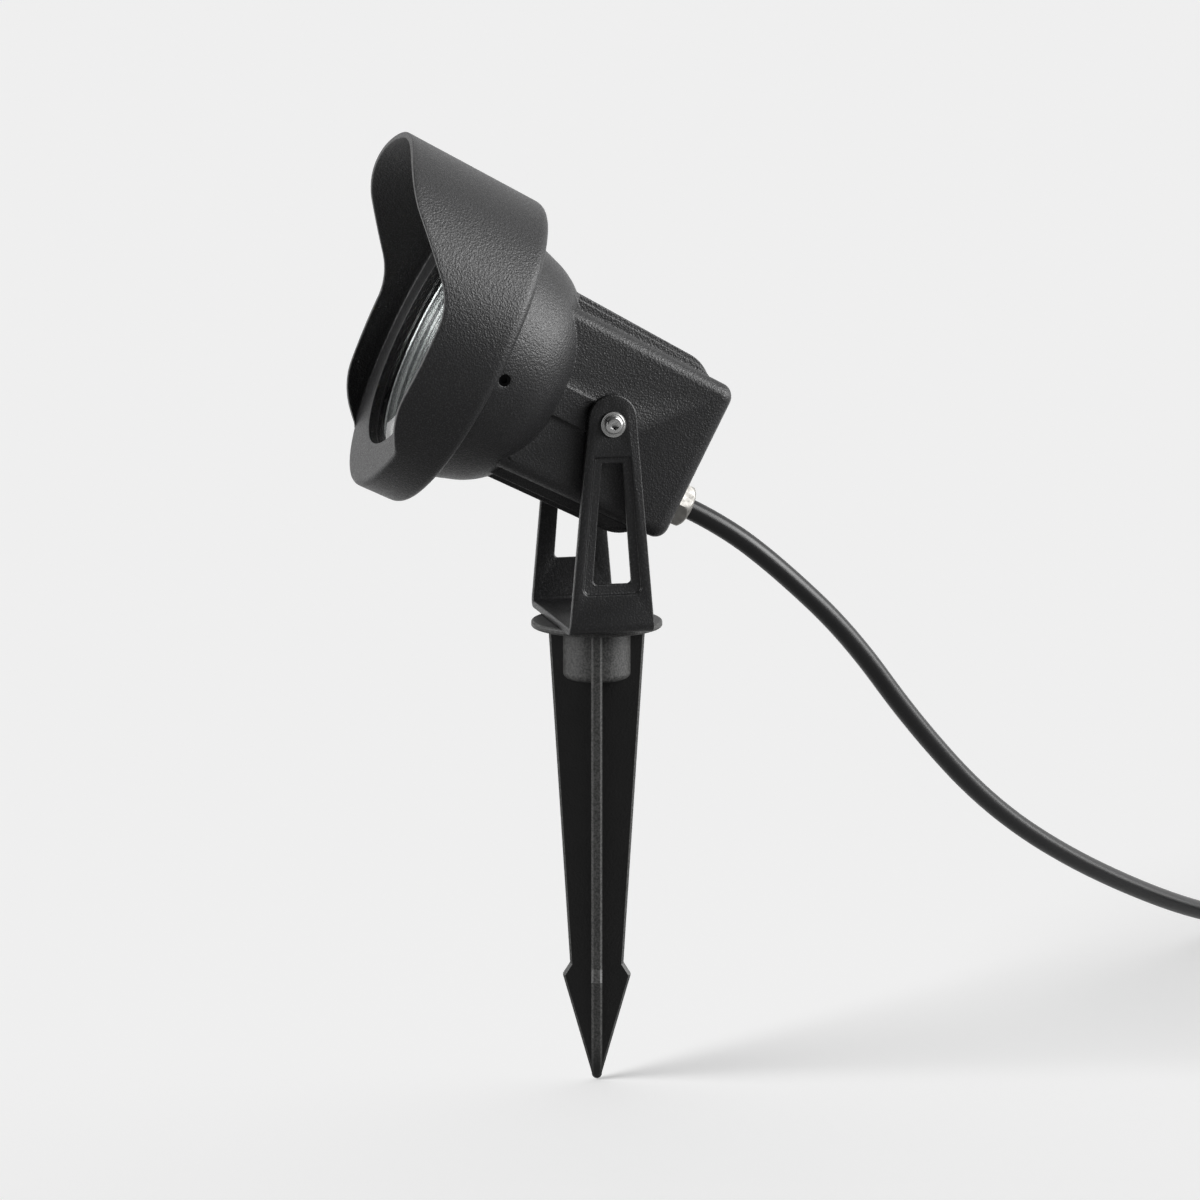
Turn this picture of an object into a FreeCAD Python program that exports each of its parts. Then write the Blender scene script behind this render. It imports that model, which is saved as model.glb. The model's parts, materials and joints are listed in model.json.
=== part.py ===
"""Garden spike spotlight.

A cast lamp head with a scalloped glare hood tilts between the ears of a bent yoke bracket, which
swivels on the flange of a barbed ground spike.  A round mains lead leaves a gland on the back of
the head, falls to the ground and ends in a coil and an earthed plug.

Frame: millimetres, +Z up, origin on the spike's axis at the underside of its flange, which rests
on the ground.  The lamp faces -Y and tilts about X.  The head's own pieces are drawn in the head
frame: origin on the pivot axis, +Z along the lamp axis towards the lens, +Y up, +X as above.
"""
import FreeCAD
import Part
import Sketcher
import math
import os
import re
from FreeCAD import Placement, Rotation, Vector

# --------------------------------------------------------------------------- driving dimensions
SIZES = [
    # ground spike
    ("spike_angle", -13.7, "turn of the blades about the spike's axis, degrees"),
    ("flange_radius", 24.0, "spike flange"),
    ("flange_thickness", 2.4, "spike flange"),
    ("flange_round", 0.8, "rounding of the flange's rim"),
    ("hub_radius", 12.5, "hub below the flange"),
    ("hub_length", 19.3, "hub below the flange"),
    ("hub_round", 2.5, "rounding of the hub's lower edge"),
    ("blade_thickness", 4.0, "each blade"),
    ("blade_chamfer", 0.8, "edge of each blade"),
    ("blade_top_width", 35.4, "across two blades under the flange"),
    ("blade_low_width", 19.8, "across two blades at the notch"),
    ("blade_length", 127.3, "flange to notch"),
    ("barb_width", 25.2, "across the barbs"),
    ("barb_drop", 4.4, "notch to barb"),
    ("spike_length", 172.1, "flange to point"),
    ("point_radius", 1.9, "rounded point"),
    ("point_half_width", 1.7, "where the point's rounding starts"),
    # bracket fixing
    ("insert_radius", 4.6, "threaded insert"),
    ("insert_length", 12.0, "threaded insert"),
    ("insert_well", 6.0, "hole in the hub below the insert"),
    ("swivel_shank_radius", 2.9, "M6 bolt"),
    ("swivel_shank_length", 15.0, "M6 bolt under its head"),
    ("swivel_head_radius", 5.6, "M6 bolt head"),
    ("swivel_head_height", 3.6, "M6 bolt head"),
    ("swivel_socket_flats", 4.0, "hexagon socket"),
    ("swivel_socket_depth", 2.2, "hexagon socket"),
    ("swivel_washer_radius", 6.2, "flat washer"),
    ("swivel_washer_thickness", 1.2, "flat washer"),
    ("spring_washer_radius", 5.5, "spring washer"),
    ("spring_washer_thickness", 1.4, "spring washer"),
    ("thread_gap", 0.06, "gap of a screw in its thread"),
    ("screw_tip", 0.4, "chamfer of a screw's end"),
    ("bolt_gap", 0.4, "gap of a bolt in a plain hole"),
    ("small_bolt_gap", 0.2, "gap of an M3 screw in a plain hole"),
    ("overlap", 1.0, "pieces joined or cut run this far past each other"),
    ("cut_margin", 5.0, "waste cut away beyond an outline"),
    # yoke bracket
    ("yoke_width", 64.4, "across the outer faces of the ears"),
    ("strap", 2.5, "strap thickness"),
    ("bend_outer", 4.0, "outer radius of the bends"),
    ("ear_base_width", 31.4, "ear at the base"),
    ("ear_top_radius", 8.8, "round top of the ear"),
    ("ear_top_rise", 1.8, "centre of the round top above the pivot"),
    ("pivot_height", 78.1, "pivot above the flange's underside"),
    ("pivot_forward", 1.9, "pivot ahead of the spike's axis"),
    ("window_bottom", 20.8, "window in the ear, from the ground line"),
    ("window_top_gap", 14.0, "window's upper edge below the pivot"),
    ("window_bottom_width", 13.8, "window"),
    ("window_top_width", 7.4, "window"),
    ("window_round", 1.5, "window's lower corners"),
    ("recess_margin", 3.7, "recess around the window, below and beside"),
    ("recess_top_margin", 2.22, "recess above the window"),
    ("recess_top_side", 2.775, "recess beside the window's upper edge"),
    ("recess_depth", 0.8, "recess around the window"),
    ("recess_round", 2.4, "recess's lower corners"),
    # head: pivot
    ("tilt_angle", 27.0, "lamp axis above level, degrees"),
    ("pivot_washer_radius", 5.2, "toothed washer"),
    ("pivot_washer_thickness", 0.5, "toothed washer"),
    ("pivot_shank_radius", 2.47, "M5 screw"),
    ("pivot_shank_length", 11.0, "M5 screw under its head"),
    ("pivot_flange_radius", 4.6, "flange of the button head"),
    ("pivot_flange_height", 0.9, "flange of the button head"),
    ("pivot_flange_dish", 0.25, "hollow between the flange's rim and the button"),
    ("pivot_head_radius", 3.5, "button head"),
    ("pivot_head_height", 2.75, "button head"),
    ("pivot_socket_flats", 3.0, "hexagon socket"),
    ("pivot_socket_depth", 1.8, "hexagon socket"),
    # head: housing
    ("rear_face", 38.0, "back of the housing behind the pivot"),
    ("box_front", 34.0, "front section of the tapered box, inside the dome"),
    ("side_gap_front", 1.5, "ear to the housing's side at the front section"),
    ("side_gap_rear", 2.5, "ear to the housing's side at the back"),
    ("box_top_front", 31.2, "housing top"),
    ("box_top_rear", 30.4, "housing top"),
    ("box_low_front", 31.3, "housing underside"),
    ("box_low_rear", 29.9, "housing underside"),
    ("box_corner", 5.0, "long corners"),
    ("box_rear_round", 5.0, "rounding round the back face"),
    ("box_wall", 3.0, "wall of the box"),
    ("cavity_front", 24.0, "front end of the box cavity"),
    ("fin_count", 5, "heat fins on the top and as many below"),
    ("fin_thickness", 4.2, "heat fin"),
    ("fin_pitch", 8.4, "heat fin"),
    ("fin_root", 3.0, "root of a fin below the housing's face"),
    ("fin_top_front", 34.9, "outer fin tip above the lamp axis, at the front section"),
    ("fin_top_rear", 32.9, "outer fin tip above the lamp axis, at its end"),
    ("fin_low_front", 34.6, "outer lower fin tip below the lamp axis"),
    ("fin_low_rear", 33.7, "outer lower fin tip below the lamp axis"),
    ("fin_crown", 1.9, "inner fins stand out above the outer ones"),
    ("fin_end", 20.0, "where the fin's rounded end starts, behind the pivot"),
    ("fin_end_length", 9.5, "length of the rounded end"),
    ("fin_end_drop", 3.5, "fall of the rounded end"),
    ("fin_end_radius", 14.6, "rounded end"),
    ("pad_half_height", 5.8, "raised pad beside the pivot"),
    ("pad_drop", 0.7, "middle of the pad below the pivot"),
    ("pad_front", 27.0, "front end of the pad, inside the dome"),
    ("pad_rear", 1.5, "centre of the pad's round end behind the pivot"),
    ("boss_radius", 6.0, "boss behind the pad"),
    ("boss_length", 7.0, "boss behind the pad"),
    ("boss_root", 1.0, "boss sunk in the wall"),
    ("dome_mouth_wall", 3.9, "wall of the dome's mouth round its bore"),
    ("dome_mid", 38.0, "where the dome's two arcs meet"),
    ("dome_mid_radius", 43.6, "outside there"),
    ("dome_front_arc", 200.0, "front arc of the dome"),
    ("dome_rear", 20.5, "back of the dome"),
    ("dome_rear_radius", 29.5, "outside there"),
    ("dome_rear_arc", 28.6, "rear arc of the dome"),
    ("ledge", 30.0, "ledge that carries the LED plate"),
    ("ledge_radius", 37.0, "outside of the ledge"),
    ("ledge_opening", 24.0, "opening in the ledge"),
    ("ledge_wall", 4.0, "straight wall round the LED plate"),
    ("mouth_clearance", 0.4, "bore of the dome's mouth behind the sleeve"),
    ("mouth_step", 1.1, "step behind the bore"),
    # head: collar and hood
    ("sleeve_radius", 43.0, "collar's sleeve, which slides into the dome"),
    ("sleeve_gap", 0.1, "sleeve in the dome's bore"),
    ("sleeve_length", 7.0, "sleeve behind the hood's back face"),
    ("collar_inner", 41.4, "bore of the collar"),
    ("collar_outer", 47.4, "collar's thread, which screws into the hood"),
    ("hood_rear", 50.2, "back face of the hood"),
    ("hood_radius", 59.1, "outside of the hood at its back"),
    ("hood_rear_round", 3.9, "rounding of the back edge"),
    ("hood_flare", 1.25, "growth of the radius from back to front"),
    ("hood_reach", 106.1, "front end of the visor"),
    ("visor_wall", 2.3, "wall of the visor"),
    ("visor_trim", 0.2, "cut back of the visor's front edge"),
    ("visor_start_drop", 42.4, "where the visor's edge leaves the lip, below the axis"),
    ("visor_knee_drop", 38.0, "end of its steep start, below the axis"),
    ("visor_knee_reach", 3.3, "there, ahead of the bezel"),
    ("visor_knee_arc", 27.9, "arc from there to the shelf"),
    ("visor_shelf_drop", 22.0, "start of the straight shelf, below the axis"),
    ("visor_shelf_reach", 8.9, "there, ahead of the bezel"),
    ("visor_dip_rise", 3.0, "end of the straight shelf, above the axis"),
    ("visor_dip_reach", 9.6, "there, ahead of the bezel"),
    ("visor_dip_arc", 24.0, "hollow arc up to the slope"),
    ("visor_slope_rise", 19.0, "start of the straight slope, above the axis"),
    ("visor_slope_reach", 15.7, "there, ahead of the bezel"),
    ("visor_crown_rise", 34.2, "end of the straight slope, above the axis"),
    ("visor_crown_reach", 29.1, "there, ahead of the bezel"),
    ("visor_crown_arc", 34.4, "round arc up to the front edge"),
    ("visor_top_rise", 56.0, "where it reaches the front edge, above the axis"),
    ("bezel_front", 68.0, "face of the bezel"),
    ("aperture_radius", 43.5, "opening of the bezel"),
    ("bezel_lip", 3.0, "bezel's lip in front of the glass"),
    ("lip_round", 2.0, "rounded lower lip"),
    ("seal_thickness", 0.8, "flat seal between collar and dome"),
    ("seal_inset", 0.3, "seal inside the dome's outer edge"),
    # head: set screws
    ("set_screw_count", 3, "grub screws round the dome's mouth"),
    ("set_screw_place", 4.55, "their distance behind the hood's back face"),
    ("set_screw_angle", -3.6, "turn of the first one from the near side, degrees"),
    ("set_screw_radius", 2.0, "M4 grub screw"),
    ("set_screw_length", 2.4, "M4 grub screw"),
    ("set_screw_gap", 0.02, "screw on the sleeve"),
    ("set_screw_flats", 2.0, "hexagon socket"),
    ("set_screw_socket", 1.4, "hexagon socket depth"),
    # head: optics
    ("gasket_thickness", 0.6, "gasket between lip and glass"),
    ("gasket_width", 2.2, "gasket between lip and glass"),
    ("glass_radius", 45.0, "toughened glass"),
    ("glass_thickness", 4.0, "toughened glass"),
    ("glass_gap", 0.2, "glass in the hood's bore"),
    ("glass_bevel", 0.6, "ground edges of the glass"),
    ("slip_gap", 0.1, "gap between pieces that slide into each other"),
    ("reflector_wall", 1.0, "spun reflector"),
    ("reflector_steps", 5, "bright terraces of the reflector"),
    ("reflector_mouth", 39.8, "inside radius at the front"),
    ("reflector_throat", 9.4, "inside radius at the LED"),
    ("reflector_step", 1.5, "depth of each terrace's riser"),
    # head: LED
    ("led_plate_thickness", 3.0, "aluminium plate"),
    ("led_plate_gap", 0.4, "plate in the ledge"),
    ("plate_screw_circle", 62.0, "pitch circle of the plate's screws"),
    ("plate_screw_count", 3, "screws in the plate"),
    ("plate_screw_runout", 0.5, "hole below a plate screw"),
    ("small_shank_radius", 1.44, "M3 screws"),
    ("small_shank_length", 7.0, "M3 screws under the head"),
    ("small_head_radius", 2.7, "M3 pan head"),
    ("small_head_height", 1.9, "M3 pan head"),
    ("short_shank_length", 3.6, "short M3 screws under the head"),
    ("small_socket_flats", 2.0, "hexagon socket"),
    ("small_socket_depth", 1.1, "hexagon socket"),
    ("pad_radius", 13.6, "thermal pad"),
    ("pad_thickness", 0.5, "thermal pad"),
    ("board_radius", 14.0, "round LED board"),
    ("board_thickness", 1.6, "round LED board"),
    ("emitter_half", 6.5, "square LED emitter"),
    ("emitter_thickness", 1.1, "square LED emitter"),
    ("holder_radius", 19.5, "LED holder"),
    ("holder_bore", 9.3, "LED holder"),
    ("holder_collar", 12.5, "collar of the LED holder"),
    ("holder_board_gap", 0.2, "board in its holder, all round"),
    ("holder_seat_gap", 0.05, "holder above the board"),
    ("holder_flange_top", 3.2, "holder flange above the plate"),
    ("holder_top", 5.5, "holder collar above the plate"),
    ("holder_screw_circle", 33.6, "pitch circle of the holder's screws"),
    ("wire_hole", 2.4, "hole for the LED leads"),
    ("wire_hole_place", 23.0, "its distance from the axis"),
    # head: driver
    ("standoff_radius", 2.5, "standoff behind the plate"),
    ("standoff_place", 11.5, "standoffs beside the axis"),
    ("driver_front", 24.0, "front face of the driver"),
    ("driver_gap", 2.2, "driver beside the pivot's bosses"),
    ("driver_depth", 28.0, "case of the driver"),
    ("driver_wall", 1.5, "case of the driver"),
    ("driver_lid_thickness", 2.0, "lid of the driver"),
    ("driver_board_place", 14.0, "driver board ahead of the pivot"),
    ("led_wire_inset", 4.0, "LED leads inside the driver's side"),
    ("led_wire_hole", 3.0, "hole for them in the driver's case"),
    ("transformer_side", 6.0, "transformer beside the board's middle"),
    ("transformer_half_width", 5.5, "transformer"),
    ("transformer_half_length", 8.0, "transformer"),
    ("transformer_height", 13.0, "transformer"),
    ("capacitor_side", 6.0, "capacitor beside the board's middle, both ways"),
    ("capacitor_half", 4.0, "capacitor"),
    ("capacitor_height", 14.0, "capacitor"),
    ("choke_side", 6.0, "choke beside the board's middle, both ways"),
    ("choke_half_width", 4.5, "choke"),
    ("choke_half_length", 4.0, "choke"),
    ("choke_height", 9.0, "choke"),
    ("block_half_width", 12.0, "terminal block"),
    ("block_low", 8.0, "terminal block below the axis"),
    ("block_top", 5.0, "terminal block above the axis"),
    ("block_depth", 11.0, "terminal block"),
    ("block_pitch", 8.0, "terminal block"),
    ("block_bore", 1.6, "wire entries of the terminal block"),
    ("block_back", 3.0, "terminal block behind its wire entries"),
    ("earth_side", 13.0, "earth screw beside the axis"),
    ("earth_up", 13.0, "earth screw above the axis"),
    ("earth_boss_radius", 4.2, "earth boss on the back wall"),
    ("earth_boss_length", 4.0, "earth boss on the back wall"),
    ("lug_radius", 4.0, "ring lug"),
    ("lug_thickness", 0.8, "ring lug"),
    ("wire_radius", 1.2, "insulated core"),
    ("wire_spread", 1.5, "cores beside the lead's centre"),
    ("wire_lead_in", 1.6, "straight end of a core"),
    ("wire_in_block", 4.0, "core inside its terminal"),
    ("earth_wire_up", 2.6, "earth core above the lead's centre"),
    ("earth_wire_side", 8.0, "bend of the earth core beside the axis"),
    ("earth_wire_low", 2.0, "bend of the earth core below the axis"),
    ("earth_wire_high", 4.0, "second bend of the earth core above the axis"),
    ("led_lead_spread", 1.3, "LED leads beside the middle"),
    ("led_lead_rise", 4.4, "LED leads above the plate"),
    ("led_lead_radius", 0.72, "insulated LED lead"),
    # head: gland
    ("gland_drop", 15.5, "gland below the lamp axis"),
    ("gland_thread_radius", 5.95, "M12 thread"),
    ("gland_hole_gap", 0.1, "thread in the back wall"),
    ("gland_inside", 6.0, "thread inside the back wall"),
    ("gland_bore", 4.3, "bore of the gland"),
    ("gland_flats", 15.4, "hexagons of the gland"),
    ("gland_ring_thickness", 0.7, "sealing ring"),
    ("gland_ring_radius", 7.4, "sealing ring"),
    ("gland_flange", 3.2, "hexagon of the gland's body"),
    ("gland_nut_gap", 0.3, "between body and cap"),
    ("gland_nut_length", 6.1, "cap of the gland"),
    ("gland_nut_hex", 3.9, "hexagonal length of the cap"),
    ("gland_nut_end_radius", 5.4, "end face of the cap"),
    ("gland_nut_round", 2.8, "domed end of the cap"),
    ("gland_collet_radius", 6.1, "collet inside the cap"),
    ("gland_collet_bore", 5.1, "collet inside the cap"),
    ("gland_collet_end", 3.2, "end of the collet inside the cap's end face"),
    ("gland_cap_throat", 2.0, "straight bore round the lead at the cap's end"),
    ("gland_seal_radius", 5.0, "rubber seal"),
    ("gland_seal_gap", 0.2, "seal from the collet's ends"),
    ("locknut_flats", 15.0, "locknut"),
    ("locknut_thickness", 2.8, "locknut"),
    # lead
    ("lead_diameter", 7.8, "round rubber lead"),
    ("seal_gap", 0.05, "lead in its seal"),
    ("lead_inside", 9.0, "sheath inside the back wall"),
    ("coil_turns_in", 7, "quarter turns that spiral in"),
    ("coil_turns_out", 7, "quarter turns that spiral out"),
    ("coil_inner_radius", 38.5, "tightest turn, to the lead's centre"),
    ("coil_pitch", 8.3, "turn to turn and layer to layer"),
    # plug
    ("boot_length", 30.0, "strain relief of the plug"),
    ("boot_end_radius", 5.0, "strain relief at the lead"),
    ("boot_root_radius", 7.0, "strain relief at the plug"),
    ("boot_socket_length", 5.7, "socket of the plug for its strain relief"),
    ("plug_radius", 19.0, "plug body"),
    ("plug_height", 33.0, "plug body"),
    ("plug_round", 3.0, "edge of the plug's back"),
    ("plug_edge", 1.0, "chamfer of the plug's face"),
    ("plug_face_recess", 0.8, "recess round the plug's pins"),
    ("plug_face_radius", 15.5, "recess round the plug's pins"),
    ("clip_slot_width", 6.4, "slots at the plug's sides"),
    ("clip_slot_depth", 2.6, "slots at the plug's sides"),
    ("clip_slot_height", 20.0, "slots at the plug's sides"),
    ("clip_thickness", 1.0, "earth clip"),
    ("clip_width", 6.0, "earth clip"),
    ("clip_below", 2.0, "top of the earth clip below the plug's face"),
    ("plug_pin_radius", 2.4, "plug pin"),
    ("plug_pin_length", 19.0, "plug pin"),
    ("plug_pin_spacing", 19.0, "pin to pin"),
    ("plug_pin_round", 1.2, "dome of the pin"),
]

# Route of the lead's free stretch, as control points chosen by hand, from the gland to the ground.
# The first two points come from the gland's place and direction, the others are held here.
LEAD_FIRST_RUN = 15.8
LEAD_ROUTE = [
    (-3.2, 70.6, 17.8),
    (-12.0, 100.6, -9.8),
    (-24.5, 131.2, -48.5),
    (-42.0, 168.0, -86.0),
    (-66.0, 212.0, -116.6),
    (-104.0, 271.0, -148.2),
    (-140.0, 318.0, None),
    (-161.0, 346.0, None),
]
ARC_SHARE = 0.45
SMALLEST_GAP = 0.4
TUBE_ERROR = 0.01

# Shares of a button head: its straight side, its flat top and the arc between them.
BUTTON_SIDE, BUTTON_FLAT, BUTTON_ARC = 0.25, 0.62, 0.72
# Shares of a short screw's head: its straight side and its flat top.
SHORT_SIDE, SHORT_FLAT = 0.6, 0.7
# Shares of a reflector terrace's riser, and of its wall behind a terrace and at the throat.
RISER_WIDTH, RISER_HEIGHT, WALL_BEHIND, WALL_AT_THROAT = 0.4, 0.5, 1.4, 2.0
SMALLEST_CORNER = 1.0
TOLERANCE = 0.01

doc = FreeCAD.newDocument("garden_spike_spotlight")
sheet = doc.addObject("Spreadsheet::Sheet", "sizes")
for row, (alias, number, note) in enumerate(SIZES, start=1):
    sheet.set(f"A{row}", note)
    sheet.set(f"B{row}", str(number))
    sheet.setAlias(f"B{row}", alias)
doc.recompute()
ALIASES = {alias for alias, number, note in SIZES}
nodes = {}


# --------------------------------------------------------------------------- small helpers
def bound(text):
    """Write an expression of sheet sizes in the sheet's own names."""
    return re.sub(r"[a-z][a-z_]*", lambda m: "sizes." + m[0] if m[0] in ALIASES else m[0], text)


def mm(text):
    """Value of an expression of sheet sizes."""
    return float(sheet.evalExpression(bound(text)))


def bind(thing, prop, text):
    thing.setExpression(prop, bound(text))


def new_body(name):
    return doc.addObject("PartDesign::Body", name)


def new_sketch(body, name, role, offset="0"):
    """Sketch on one of the body's origin planes, moved along the plane's normal."""
    sketch = body.newObject("Sketcher::SketchObject", name)
    plane = next(f for f in body.Origin.OriginFeatures if f.Role == role)
    sketch.AttachmentSupport = [(plane, "")]
    sketch.MapMode = "FlatFace"
    if offset != "0":
        bind(sketch, "AttachmentOffset.Base.z", offset)
    return sketch


def hold_point(sketch, edge, end, x, y):
    """Tie one end of an edge to two expressions, measured from the sketch's origin."""
    for kind, text in (("DistanceX", x), ("DistanceY", y)):
        rule = sketch.addConstraint(Sketcher.Constraint(kind, -1, 1, edge, end, mm(text)))
        bind(sketch, f"Constraints[{rule}]", text)


def draw_outline(sketch, points):
    """Closed outline.  A point is (x, y), or (x, y, side, radius) where an arc leads to it."""
    places = [Vector(mm(p[0]), mm(p[1]), 0) for p in points]
    first = sketch.GeometryCount
    ends = []
    for i, point in enumerate(points):
        target = points[(i + 1) % len(points)]
        a, b = places[i], places[(i + 1) % len(points)]
        if len(target) == 2:
            sketch.addGeometry(Part.LineSegment(a, b))
            ends.append((1, 2))
            continue
        radius = mm(target[3])
        half = (b - a) * 0.5
        rise = math.sqrt(radius ** 2 - half.Length ** 2)
        left = Vector(-half.y, half.x, 0).normalize()
        centre = a + half + left * (rise if target[2] == "left" else -rise)
        start, stop = (a, b) if target[2] == "left" else (b, a)
        angles = [math.atan2(p.y - centre.y, p.x - centre.x) for p in (start, stop)]
        circle = Part.Circle(centre, Vector(0, 0, 1), radius)
        sketch.addGeometry(Part.ArcOfCircle(circle, angles[0], angles[1]))
        ends.append((1, 2) if target[2] == "left" else (2, 1))
        rule = sketch.addConstraint(Sketcher.Constraint("Radius", first + i, radius))
        bind(sketch, f"Constraints[{rule}]", target[3])
    for i, point in enumerate(points):
        after = (i + 1) % len(points)
        sketch.addConstraint(Sketcher.Constraint(
            "Coincident", first + i, ends[i][1], first + after, ends[after][0]))
        hold_point(sketch, first + i, ends[i][0], point[0], point[1])


def draw_circle(sketch, x, y, radius):
    edge = sketch.addGeometry(Part.Circle(Vector(mm(x), mm(y), 0), Vector(0, 0, 1), mm(radius)))
    rule = sketch.addConstraint(Sketcher.Constraint("Radius", edge, mm(radius)))
    bind(sketch, f"Constraints[{rule}]", radius)
    hold_point(sketch, edge, 3, x, y)


def mirrored(points):
    """An outline's right half, from the top down, with its left half added."""
    left = [(f"-({p[0]})", p[1]) for p in reversed(points)]
    return points + left


def hexagon(flats, first=30):
    """Hexagon across flats, with its first corner at an angle."""
    return [(f"({flats}) / sqrt(3) * cos({first + 60 * k})",
             f"({flats}) / sqrt(3) * sin({first + 60 * k})") for k in range(6)]


def add_feature(body, kind, name, sketch):
    feature = body.newObject(f"PartDesign::{kind}", name)
    feature.Profile = sketch
    sketch.Visibility = False
    return feature


def add_turn(body, name, points, kind="Revolution"):
    """Turn an outline of (radius, height) about the body's Z axis."""
    sketch = new_sketch(body, name + "_profile", "XZ_Plane")
    draw_outline(sketch, points)
    feature = add_feature(body, kind, name, sketch)
    feature.ReferenceAxis = (sketch, ["V_Axis"])
    feature.Angle = 360
    return feature


def add_pad(body, name, role, points, length, offset="0", side="One side"):
    sketch = new_sketch(body, name + "_outline", role, offset)
    draw_outline(sketch, points)
    feature = add_feature(body, "Pad", name, sketch)
    feature.SideType = side
    bind(feature, "Length", length)
    return feature


def add_pocket(body, name, role, draw, length=None, offset="0", reverse=False):
    """Pocket, through everything both ways where no length is given."""
    sketch = new_sketch(body, name + "_outline", role, offset)
    draw(sketch)
    feature = add_feature(body, "Pocket", name, sketch)
    if length is None:
        feature.Type = "ThroughAll"
        feature.SideType = "Symmetric"
    else:
        feature.Reversed = reverse
        bind(feature, "Length", length)
    return feature


def turned(name, points):
    """A piece that is one turned outline."""
    body = new_body(name)
    add_turn(body, name + "_turn", points)
    return body


def ring(name, outer, inner, low, high):
    return turned(name, [(inner, low), (outer, low), (outer, high), (inner, high)])


def cut(name, base, tools):
    """Part::Cut of a base and one or more tools."""
    tool = tools[0]
    if len(tools) > 1:
        tool = doc.addObject("Part::MultiFuse", name + "_tools")
        tool.Shapes = tools
    result = doc.addObject("Part::Cut", name)
    result.Base = base
    result.Tool = tool
    return result


def fuse(name, shapes):
    result = doc.addObject("Part::MultiFuse", name)
    result.Shapes = shapes
    return result


def feature_of(name, shape):
    """A Part::Feature with the given shape."""
    thing = doc.addObject("Part::Feature", name)
    thing.Shape = shape
    return thing


def publish(name, thing, place=None):
    """Name the piece that becomes one file, and put it in its place."""
    thing.Label = name
    if place is not None:
        thing.Placement = place
    nodes[name] = thing


def copies(name, master, places):
    """Identical pieces in one node."""
    doc.recompute()
    solids = []
    for place in places:
        solid = master.Shape.copy()
        solid.Placement = place
        solids.append(solid)
    return feature_of(name, Part.makeCompound(solids))


def screw(name, size, flange=()):
    """Screw with a rounded head from z = 0 up, a hexagon socket, and a shank down."""
    head, height = f"{size}_head_radius", f"{size}_head_height"
    shank, length = f"{size}_shank_radius", f"{size}_shank_length"
    foot = list(flange) or [(head, "0"), (head, f"{height} * {BUTTON_SIDE}")]
    body = new_body(name)
    add_turn(body, name + "_turn", [
        ("0", f"-{length}"), (f"{shank} - screw_tip", f"-{length}"),
        (shank, f"-{length} + screw_tip"), (shank, "0"), *foot,
        (f"{head} * {BUTTON_FLAT}", height, "left", f"{head} * {BUTTON_ARC}"), ("0", height)])
    add_pocket(body, name + "_socket", "XY_Plane",
               lambda s: draw_outline(s, hexagon(f"{size}_socket_flats")),
               length=f"{size}_socket_depth", offset=height)
    return body


def ring_places(count, radius, height, first=0.0):
    """Places round the Z axis, as upright pieces."""
    step = 360.0 / count
    return [Placement(Vector(radius * math.cos(math.radians(first + k * step)),
                             radius * math.sin(math.radians(first + k * step)), height), Rotation())
            for k in range(count)]


# --------------------------------------------------------------------------- frames
TILT = Rotation(Vector(1, 0, 0), 90 - mm("tilt_angle"))
HEAD = Placement(Vector(0, -mm("pivot_forward"), mm("pivot_height")), TILT)
GLAND = HEAD * Placement(Vector(0, -mm("gland_drop"), 0), Rotation())
GROUND = -mm("spike_length")


# --------------------------------------------------------------------------- ground spike
def blade():
    """One pair of blades with chamfered edges, as a plate in the XZ plane."""
    half = mm("blade_thickness") / 2
    inset = mm("blade_chamfer")
    low = -mm("blade_length")
    right = [
        Vector(mm("blade_top_width") / 2, 0, 0),
        Vector(mm("blade_low_width") / 2, 0, low),
        Vector(mm("barb_width") / 2, 0, low - mm("barb_drop")),
        Vector(mm("point_half_width"), 0, GROUND + mm("point_radius")),
    ]
    left = [Vector(-p.x, 0, p.z) for p in reversed(right)]
    outline = Part.makePolygon(right + left + right[:1])
    small = outline.makeOffset2D(-inset, 2)

    def at(wire, depth):
        return wire.translated(Vector(0, depth, 0))

    layers = [
        Part.makeLoft([at(small, -half), at(outline, inset - half)], True, True),
        Part.makeLoft([at(outline, inset - half), at(outline, half - inset)], True, True),
        Part.makeLoft([at(outline, half - inset), at(small, half)], True, True),
    ]
    return layers[0].fuse(layers[1:]).removeSplitter()


def make_spike():
    hub = new_body("spike_hub")
    add_turn(hub, "spike_hub_turn", [
        ("0", "-hub_length"), ("hub_radius - hub_round", "-hub_length"),
        ("hub_radius", "-hub_length + hub_round", "left", "hub_round"),
        ("hub_radius", "0"), ("flange_radius - flange_round", "0"),
        ("flange_radius", "flange_round", "left", "flange_round"),
        ("flange_radius", "flange_thickness - flange_round"),
        ("flange_radius - flange_round", "flange_thickness", "left", "flange_round"),
        ("0", "flange_thickness")])
    plate = blade()
    turned_plate = plate.copy()
    turned_plate.rotate(Vector(0, 0, 0), Vector(0, 0, 1), 90)
    first = feature_of("spike_blades_across", plate)
    second = feature_of("spike_blades_along", turned_plate)
    point = doc.addObject("Part::Sphere", "spike_point")
    bind(point, "Radius", "point_radius")
    bind(point, "Placement.Base.z", "-spike_length + point_radius")
    bore = doc.addObject("Part::Cylinder", "spike_bore")
    bind(bore, "Radius", "insert_radius")
    bind(bore, "Height", "insert_length + insert_well")
    bind(bore, "Placement.Base.z", "flange_thickness - insert_length - insert_well")
    spike = cut("spike", fuse("spike_solid", [hub, first, second, point]), [bore])
    publish("ground_spike", spike, Placement(Vector(), Rotation(Vector(0, 0, 1), mm("spike_angle"))))
    publish("spike_insert", ring(
        "insert", "insert_radius", "swivel_shank_radius + thread_gap",
        "flange_thickness - insert_length", "flange_thickness"))


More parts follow.
